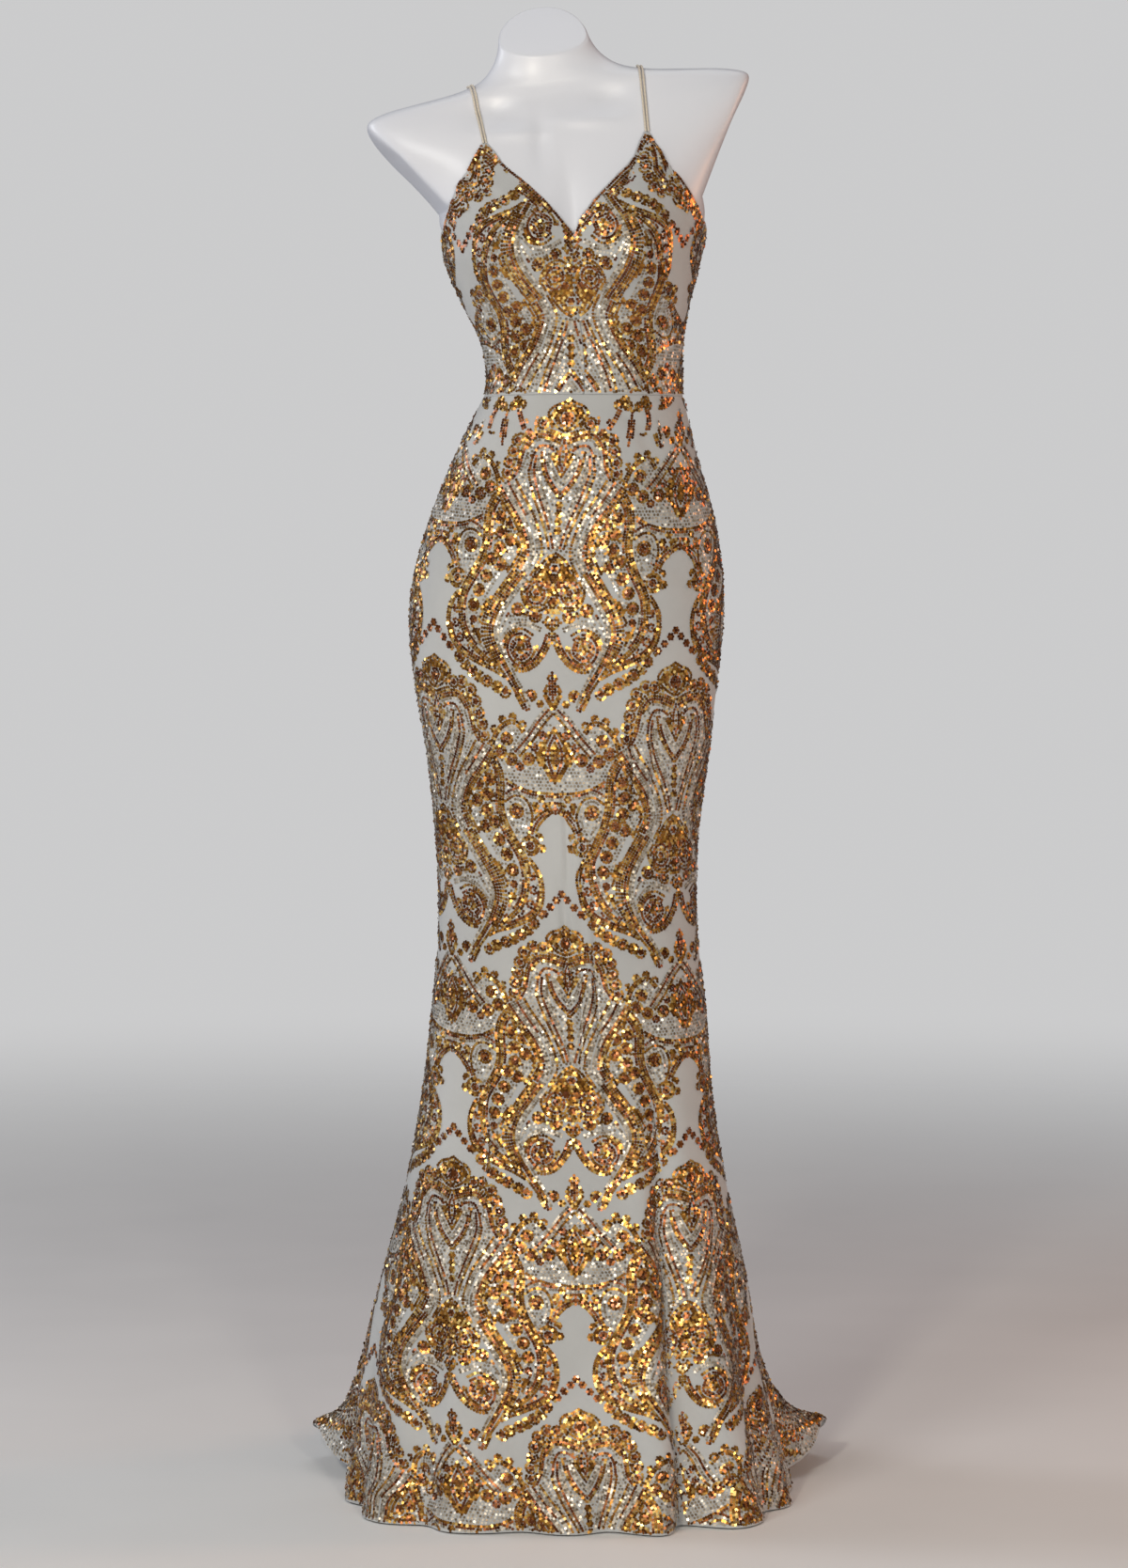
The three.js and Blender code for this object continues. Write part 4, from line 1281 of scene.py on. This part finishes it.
def neck_rim(turns):
    """Where the neck's wall meets the slanted cut, and the section height there."""
    heights = np.full(len(turns), 1520.0)
    for _ in range(30):
        p = trunk_point(heights, turns, FORM_INSET)
        heights = heights + 0.8 * (neck_top(p[:, 0], p[:, 1]) - p[:, 2])
    return heights, p


def dress_form():
    """Rings up the trunk and neck, closed by a flat lid with a rounded rim."""
    low = [np.arange(FORM_FOOT, 1300, 10), np.arange(1300, 1342, 3), np.arange(1342, 1472, 1.6)]
    heights = np.concatenate(low)
    turns = np.concatenate(
        [np.arange(-180, -120, 3.0), np.arange(-120, -60, 1.0), np.arange(-60, 60, 2.4)]
        + [np.arange(60, 120, 1.0), np.arange(120, 180, 3.0)]
    )
    a, b = np.meshgrid(heights, turns, indexing="ij")
    rim_heights, rim = neck_rim(turns)
    rise = np.linspace(0, 1, 14)[1:, None]
    a = np.concatenate([a, heights[-1] + (rim_heights[None] - 2.4 - heights[-1]) * rise])
    b = np.concatenate([b, np.broadcast_to(turns, (13, len(turns)))])
    rings = [cut_back(trunk_point(a, b, FORM_INSET))]
    middle = rim[:, :2].mean(axis=0)
    edge = rim[:, :2] - middle
    reach_out = np.linalg.norm(edge, axis=1, keepdims=True)
    for inset, under in [(0.2, 1.5), (0.7, 0.7), (1.5, 0.2), (2.6, 0), (14, 0), (28, 0)]:
        xy = middle + edge * (1 - inset / reach_out)
        z = neck_top(xy[:, 0], xy[:, 1]) - under
        rings.append(np.concatenate([xy, z[:, None]], axis=1)[None])
    p = np.concatenate(rings)
    rows, cols = p.shape[:2]
    faces, at, right = ring_faces(rows, cols)
    top = np.array([[*middle, neck_top(*middle)]])
    foot = np.array([[0.0, 0.0, FORM_FOOT]])
    points = np.concatenate([p.reshape(-1, 3), foot, top]) * MM
    faces += [(right[0, i], at[0, i], rows * cols) for i in range(cols)]
    faces += [(at[-1, i], right[-1, i], rows * cols + 1) for i in range(cols)]
    obj = put_mesh("dress_form_shell", points, faces)
    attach(obj, "root")
    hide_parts("dress_form")
    print("form faces", len(obj.data.polygons))
    return obj


FORM = dress_form()


# %% [markdown]
# ## The shoulder cords
# Each strap is a pair of bias tubes turned right side out, about 2 mm thick. They start together
# on the cup's point, part a little over the shoulder and meet again at the back edge, where they
# are sewn in. They follow the form all the way, a hair off it, so their route is found by
# feeling for its skin.

# %% The cords
from mathutils import Vector
from mathutils.bvhtree import BVHTree

# Radius, the air under a cord, how far under its crest the shoulder starts to turn, and the
# length of that turn.
CORD_RADIUS = 1.1
CORD_AIR = 1.0
SHOULDER_DROP = 46
SHOULDER_ARC = 72
SKIN = BVHTree.FromPolygons(
    [v.co[:] for v in FORM.data.vertices], [tuple(f.vertices) for f in FORM.data.polygons]
)


def skin_distance(x, z, forward, up):
    """How far out the form's skin is from (x, 0, z), along a direction in its side view."""
    aim = Vector((0, forward, up)).normalized()
    far = Vector((x, 0, z)) * MM + aim * 0.4
    hit = SKIN.ray_cast(far, -aim)
    return 400 - hit[3] / MM if hit[3] else 0


def cord_route(front, crest, back):
    """Stops from the cup's point over the shoulder to the back edge."""
    pivot = crest[1] - SHOULDER_DROP
    climb = (pivot - front[1]) / (pivot - front[1] + SHOULDER_ARC)
    stops = [(front[1] + (pivot - front[1]) * i / 4, 0, climb * i / 4) for i in range(5)]
    stops += [(pivot, i * 18, climb + (1 - climb) * i / 5) for i in range(1, 6)]
    stops += [(pivot, i * 18, 1 + 0.3 * (i - 5) / 5) for i in range(6, 11)]
    stops += [(pivot + (back[1] - pivot) * i / 9, 180, 1.3 + 0.7 * i / 9) for i in range(1, 10)]
    route = []
    for z, lift, along in stops:
        t = along if along < 1 else along - 1
        ends = (front, crest) if along < 1 else (crest, back)
        x = ends[0][0] + (ends[1][0] - ends[0][0]) * t
        forward, up = -math.cos(math.radians(lift)), math.sin(math.radians(lift))
        d = skin_distance(x, z, forward, up) + CORD_RADIUS + CORD_AIR
        route.append((x, forward * d, z + up * d))
    return np.array(route)


def tube(name, route, radius, sides=10):
    """A round tube along a smooth route."""
    line = rounded(route, 6)
    aim = np.gradient(line, axis=0)
    aim /= np.linalg.norm(aim, axis=1, keepdims=True)
    side = np.cross(aim, [1.0, 0, 0])
    side /= np.linalg.norm(side, axis=1, keepdims=True)
    other = np.cross(aim, side)
    turn = np.linspace(0, 2 * np.pi, sides, endpoint=False)
    cos, sin = np.cos(turn)[None, :, None], np.sin(turn)[None, :, None]
    ring = side[:, None] * cos + other[:, None] * sin
    points = (line[:, None] + ring * radius).reshape(-1, 3)
    rows = len(line)
    faces, at, _ = ring_faces(rows, sides)
    faces += [tuple(at[0, ::-1]), tuple(at[-1])]
    obj = put_mesh(name, points * MM, faces)
    along = lengths(line)
    flat = [np.tile(np.arange(sides) / sides, rows), np.repeat(along, sides)]
    mark_cloth(obj, np.stack(flat, axis=1))
    return obj, along[-1]


CORD_ENDS = {-1: ((-80.5, 1400), (-98, 1457)), 1: ((84.5, 1412), (77, 1478))}
CORDS = []
for side, which in [(-1, "left"), (1, "right")]:
    tip, crest = CORD_ENDS[side]
    sewn = trunk_point(back_top(side, 0.5), side * 135.0, FORM_INSET)
    for part, off in [("inner", -0.5 * side), ("outer", 0.5 * side)]:
        route = cord_route(
            (tip[0] + off * 2.8, tip[1] + 0.5),
            (crest[0] + off * 3.4, crest[1]),
            (sewn[0] + off * 2.8, sewn[2] + 1.0),
        )
        strap, length = tube(f"strap_{which}_{part}", route, CORD_RADIUS)
        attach(strap, "root")
        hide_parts(f"cord_{which}_{part}")
        CORDS.append(strap)
        print(strap.name, "length", round(float(length)), "mm")


# %% [markdown]
# ## Finishes
# Effects that more than one finish uses are node groups, built once: the net's knit, a slow
# unevenness of colour, and the tone that differs from sequin to sequin.

# %% Node helpers
def group(name, inputs, outputs):
    """A shader node group with named float or colour sockets."""
    tree = bpy.data.node_groups.new(name, "ShaderNodeTree")
    for label, kind, value in inputs:
        socket = tree.interface.new_socket(label, in_out="INPUT", socket_type=kind)
        if value is not None:
            socket.default_value = value
    for label, kind in outputs:
        tree.interface.new_socket(label, in_out="OUTPUT", socket_type=kind)
    tree.nodes.new("NodeGroupInput").name = "in"
    tree.nodes.new("NodeGroupOutput").name = "out"
    return tree


def node(tree, kind, **settings):
    made = tree.nodes.new(kind)
    for key, value in settings.items():
        setattr(made, key, value)
    return made


def feed(made, **values):
    """Set a node's own inputs; an underscore stands for the space in an input's name."""
    for key, value in values.items():
        made.inputs[key.replace("_", " ")].default_value = value
    return made


def link(tree, source, target):
    tree.links.new(source, target)


def maths(tree, what, a, b=None, c=None):
    made = node(tree, "ShaderNodeMath", operation=what)
    for i, value in enumerate((a, b, c)):
        if value is None:
            continue
        if isinstance(value, (int, float)):
            made.inputs[i].default_value = value
        else:
            link(tree, value, made.inputs[i])
    return made.outputs[0]


def ramp(tree, source, stops):
    made = node(tree, "ShaderNodeValToRGB")
    elements = made.color_ramp.elements
    while len(elements) < len(stops):
        elements.new(0.5)
    for element, (at, colour) in zip(elements, stops):
        element.position = at
        element.color = (*colour, 1)
    link(tree, source, made.inputs[0])
    return made.outputs[0]


def principled(name, **values):
    material = bpy.data.materials.new(name)
    material.use_nodes = True
    shader = feed(material.node_tree.nodes["Principled BSDF"], **values)
    return material, material.node_tree, shader


# %% The shared groups
def knit_group():
    """The net's fine knit, from the cloth's own millimetres."""
    tree = group(
        "fine_knit",
        [("Gauge", "NodeSocketFloat", 900.0), ("Slack", "NodeSocketFloat", 0.15)],
        [("Height", "NodeSocketFloat"), ("Gap", "NodeSocketFloat")],
    )
    inside_node = tree.nodes["in"]
    uv = node(tree, "ShaderNodeUVMap", uv_map="cloth")
    cells = node(tree, "ShaderNodeTexVoronoi", feature="F1", distance="EUCLIDEAN")
    link(tree, uv.outputs[0], cells.inputs["Vector"])
    link(tree, inside_node.outputs["Gauge"], cells.inputs["Scale"])
    link(tree, inside_node.outputs["Slack"], cells.inputs["Randomness"])
    height = maths(tree, "MULTIPLY", cells.outputs["Distance"], 1.0)
    gap = maths(tree, "SUBTRACT", 1.0, cells.outputs["Distance"])
    link(tree, height, tree.nodes["out"].inputs["Height"])
    link(tree, gap, tree.nodes["out"].inputs["Gap"])
    return tree


def unevenness_group():
    """A slow change over a surface, from about 0 to 1."""
    tree = group(
        "slow_unevenness",
        [("Size", "NodeSocketFloat", 9.0), ("Detail", "NodeSocketFloat", 4.0)],
        [("Amount", "NodeSocketFloat")],
    )
    place = node(tree, "ShaderNodeTexCoord")
    noise = node(tree, "ShaderNodeTexNoise")
    link(tree, place.outputs["Object"], noise.inputs["Vector"])
    link(tree, tree.nodes["in"].outputs["Size"], noise.inputs["Scale"])
    link(tree, tree.nodes["in"].outputs["Detail"], noise.inputs["Detail"])
    link(tree, noise.outputs["Fac"], tree.nodes["out"].inputs["Amount"])
    return tree


def tone_group():
    """The tone of one sequin, a little swayed by where it is."""
    tree = group(
        "sequin_tone",
        [("Sway", "NodeSocketFloat", 0.35)],
        [("Tone", "NodeSocketFloat")],
    )
    own = node(tree, "ShaderNodeAttribute", attribute_name="tone")
    place = node(tree, "ShaderNodeTexCoord")
    noise = feed(node(tree, "ShaderNodeTexNoise"), Scale=14.0, Detail=3.0)
    link(tree, place.outputs["Object"], noise.inputs["Vector"])
    centred = maths(tree, "SUBTRACT", noise.outputs["Fac"], 0.5)
    swayed = maths(tree, "MULTIPLY", centred, tree.nodes["in"].outputs["Sway"])
    total = maths(tree, "MULTIPLY_ADD", swayed, 2.0, own.outputs["Fac"])
    link(tree, total, tree.nodes["out"].inputs["Tone"])
    return tree


KNIT = knit_group()
UNEVEN = unevenness_group()
TONE = tone_group()


def use(tree, what, **values):
    return feed(node(tree, "ShaderNodeGroup", node_tree=what), **values)


def bumped(tree, shader, height, strength, distance):
    bump = feed(node(tree, "ShaderNodeBump"), Strength=strength, Distance=distance)
    link(tree, height, bump.inputs["Height"])
    link(tree, bump.outputs[0], shader.inputs["Normal"])


# %% The net
def net_finish():
    material, tree, shader = principled("stretch_net", Roughness=0.72, Sheen_Weight=0.25)
    knit = use(tree, KNIT, Gauge=950.0, Slack=0.2)
    uneven = use(tree, UNEVEN, Size=7.0, Detail=5.0)
    shade = maths(tree, "MULTIPLY_ADD", knit.outputs["Height"], 0.25, uneven.outputs["Amount"])
    colour = ramp(tree, shade, [(0.25, (0.37, 0.378, 0.382)), (0.85, (0.53, 0.54, 0.545))])
    link(tree, colour, shader.inputs["Base Color"])
    bumped(tree, shader, knit.outputs["Height"], 0.25, 0.0004)
    return material


# %% The sequins
def sequin_finish(name, stops, roughness, metallic, spread):
    material, tree, shader = principled(name, Metallic=metallic, Coat_Weight=0.15, Coat_Roughness=0.10)
    tone = use(tree, TONE, Sway=0.3)
    link(tree, ramp(tree, tone.outputs["Tone"], stops), shader.inputs["Base Color"])
    rough = maths(tree, "MULTIPLY_ADD", tone.outputs["Tone"], spread, roughness)
    link(tree, rough, shader.inputs["Roughness"])
    return material


SEQUIN_FINISHES = {
    "gold": sequin_finish(
        "gold_sequins",
        [
            (0.0, (0.14, 0.046, 0.006)),
            (0.45, (0.32, 0.13, 0.015)),
            (0.8, (0.56, 0.28, 0.045)),
            (1.0, (0.95, 0.68, 0.24)),
        ],
        0.16,
        0.72,
        0.12,
    ),
    "bronze": sequin_finish(
        "bronze_sequins",
        [
            (0.0, (0.09, 0.022, 0.005)),
            (0.5, (0.21, 0.060, 0.011)),
            (0.9, (0.38, 0.13, 0.026)),
            (1.0, (0.74, 0.40, 0.13)),
        ],
        0.18,
        0.66,
        0.14,
    ),
    "clear": sequin_finish(
        "clear_sequins",
        [(0.0, (0.19, 0.135, 0.08)), (0.5, (0.36, 0.30, 0.225)), (1.0, (0.80, 0.74, 0.64))],
        0.2,
        0.35,
        0.14,
    ),
}


# %% The cord, the form and the stand
def cord_finish():
    material, tree, shader = principled("rouleau_cord", Roughness=0.5, Sheen_Weight=0.3)
    uv = node(tree, "ShaderNodeUVMap", uv_map="cloth")
    wave = feed(node(tree, "ShaderNodeTexWave", bands_direction="DIAGONAL"), Scale=420.0)
    link(tree, uv.outputs[0], wave.inputs["Vector"])
    colour = ramp(tree, wave.outputs["Fac"], [(0.0, (0.55, 0.47, 0.37)), (1.0, (0.78, 0.71, 0.60))])
    link(tree, colour, shader.inputs["Base Color"])
    bumped(tree, shader, wave.outputs["Fac"], 0.3, 0.0003)
    return material


def form_finish():
    material, tree, shader = principled("form_gloss", Coat_Weight=0.12, Coat_Roughness=0.25)
    uneven = use(tree, UNEVEN, Size=3.0, Detail=2.0)
    colour = ramp(tree, uneven.outputs["Amount"], [(0.3, (0.73, 0.75, 0.82)), (0.7, (0.78, 0.80, 0.865))])
    link(tree, colour, shader.inputs["Base Color"])
    fine = use(tree, UNEVEN, Size=60.0, Detail=3.0)
    link(tree, maths(tree, "MULTIPLY_ADD", fine.outputs["Amount"], 0.08, 0.34), shader.inputs["Roughness"])
    bumped(tree, shader, fine.outputs["Amount"], 0.02, 0.0005)
    return material


def steel_finish():
    material, tree, shader = principled("brushed_steel", Metallic=1.0)
    place = node(tree, "ShaderNodeTexCoord")
    stretch = feed(node(tree, "ShaderNodeMapping"), Scale=(260, 260, 6))
    noise = feed(node(tree, "ShaderNodeTexNoise"), Scale=3.0, Detail=4.0)
    link(tree, place.outputs["Object"], stretch.inputs["Vector"])
    link(tree, stretch.outputs[0], noise.inputs["Vector"])
    colour = ramp(tree, noise.outputs["Fac"], [(0.3, (0.42, 0.43, 0.44)), (0.7, (0.60, 0.61, 0.62))])
    link(tree, colour, shader.inputs["Base Color"])
    rough = maths(tree, "MULTIPLY_ADD", noise.outputs["Fac"], 0.2, 0.2)
    link(tree, rough, shader.inputs["Roughness"])
    bumped(tree, shader, noise.outputs["Fac"], 0.1, 0.0002)
    return material


def dress_in(obj, material):
    obj.data.materials.clear()
    obj.data.materials.append(material)


NET = net_finish()
for panel in PANELS.values():
    dress_in(panel, NET)
for piece, kind in SEQUIN_PIECES:
    dress_in(piece, SEQUIN_FINISHES[kind])
CORD_FINISH = cord_finish()
for strap in CORDS:
    dress_in(strap, CORD_FINISH)
dress_in(FORM, form_finish())
STEEL = steel_finish()
for name in ("stand_base", "stand_pole", "stand_collar"):
    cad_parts[name].material_slots[0].material = STEEL
print("finishes:", len(bpy.data.materials))


# %% [markdown]
# ## Cloth facts
# Each sheet of cloth is listed with the size it was cut to, and its area is printed beside that of
# its cut. The bodice is held stretched over the form, and the skirt hangs from it.

# %% The sheets' cuts
CUTS = {
    "bodice_front_left": (0.22, 0.275, 0.036, "stretched"),
    "bodice_front_right": (0.21, 0.285, 0.0367, "stretched"),
    "bodice_back_left": (0.185, 0.17, 0.0198, "stretched"),
    "bodice_back_right": (0.185, 0.17, 0.02, "stretched"),
    "skirt_front": (0.79, 1.19, 0.52, "hung"),
    "skirt_back_left": (0.74, 1.41, 0.33, "hung"),
    "skirt_back_right": (0.74, 1.41, 0.333, "hung"),
}
for name, (wide, long, area, held) in CUTS.items():
    mesh = PANELS[name].data
    worked = sum(f.area for f in mesh.polygons) / 2
    print(name, "measured area", round(worked, 4), "of a cut of", area)


# %% [markdown]
# ## Floor, light and camera
# A plain pale floor that fades into a plain pale backdrop, a soft light high in front and a weak
# low one, one at each side and above, and two small ones that make the sequins sparkle.

# %% The floor
def floor_finish():
    material, tree, shader = principled("studio_floor", Roughness=0.55)
    place = node(tree, "ShaderNodeTexCoord")
    split = node(tree, "ShaderNodeVectorMath", operation="LENGTH")
    link(tree, place.outputs["Object"], split.inputs[0])
    fade = node(tree, "ShaderNodeMapRange", interpolation_type="SMOOTHSTEP")
    feed(fade, From_Min=0.9, From_Max=4.5, To_Min=1.0, To_Max=0.0)
    link(tree, split.outputs["Value"], fade.inputs["Value"])
    link(tree, fade.outputs[0], shader.inputs["Alpha"])
    noise = feed(node(tree, "ShaderNodeTexNoise"), Scale=40.0)
    colour = ramp(tree, noise.outputs["Fac"], [(0.3, (0.84, 0.845, 0.85)), (0.7, (0.88, 0.885, 0.89))])
    link(tree, colour, shader.inputs["Base Color"])
    return material


def round_floor(radius=6.0, rings=24, sides=96):
    turn = np.linspace(0, 2 * np.pi, sides, endpoint=False)
    points = [(0, 0, 0)]
    for i in range(1, rings + 1):
        r = radius * i / rings
        points += [(r * math.cos(t), r * math.sin(t), 0) for t in turn]
    faces = [(0, 1 + i, 1 + (i + 1) % sides) for i in range(sides)]
    for i in range(rings - 1):
        for j in range(sides):
            k = (j + 1) % sides
            a, b = 1 + i * sides, 1 + (i + 1) * sides
            faces.append((a + j, b + j, b + k, a + k))
    return put_mesh("studio_floor", points, faces)


FLOOR = round_floor()
dress_in(FLOOR, floor_finish())


# %% The lights
def area_light(name, place, aim, size, power, colour):
    light = bpy.data.lights.new(name, "AREA")
    light.shape = "RECTANGLE"
    light.size = size[0]
    light.size_y = size[1]
    light.energy = power
    light.color = colour
    obj = put(name, light)
    obj.location = place
    way = Vector(aim) - Vector(place)
    obj.rotation_euler = way.to_track_quat("-Z", "Y").to_euler()


area_light("front_soft", (-2.1, -3.0, 2.8), (0, 0, 0.9), (1.0, 1.0), 35, (1.0, 0.99, 0.97))
area_light("front_low", (1.2, -3.6, 0.9), (0, 0, 0.6), (1.2, 1.6), 9, (1.0, 0.98, 0.95))
area_light("spark_left", (-0.9, -3.2, 1.9), (0, 0, 0.9), (0.24, 0.24), 34, (1.0, 0.92, 0.78))
area_light("spark_right", (0.7, -3.3, 1.3), (0, 0, 0.7), (0.22, 0.22), 20, (1.0, 0.92, 0.78))
area_light("side_left", (-2.6, 0.7, 1.8), (0, 0, 0.9), (0.7, 1.8), 24, (0.90, 0.93, 1.0))
area_light("side_right", (2.5, 0.5, 1.4), (0, 0, 0.8), (0.4, 1.4), 16, (1.0, 0.50, 0.28))
area_light("top_soft", (0.2, 0.6, 3.4), (0, 0, 1.0), (1.8, 1.8), 12, (1.0, 1.0, 1.0))

bpy.context.scene.view_settings.view_transform = "Standard"

world = bpy.data.worlds.new("pale_studio")
bpy.context.scene.world = world
world.use_nodes = True
tree = world.node_tree
backdrop = tree.nodes["Background"]
seen = node(tree, "ShaderNodeLightPath")
shade = node(tree, "ShaderNodeMix", data_type="RGBA")
shade.inputs["A"].default_value = (0.10, 0.102, 0.11, 1)
shade.inputs["B"].default_value = (0.60, 0.60, 0.605, 1)
link(tree, seen.outputs["Is Camera Ray"], shade.inputs["Factor"])
link(tree, shade.outputs["Result"], backdrop.inputs["Color"])

# %% The camera
camera = bpy.data.cameras.new("camera")
camera.sensor_fit = "VERTICAL"
camera.sensor_height = 36
camera.lens = 95
eye = put("camera", camera)
eye.location = (0, -4.3, 1.0)
eye.rotation_euler = (math.radians(90 - 3.41), 0, 0)
bpy.context.scene.camera = eye
print("camera", tuple(round(v, 3) for v in eye.location))
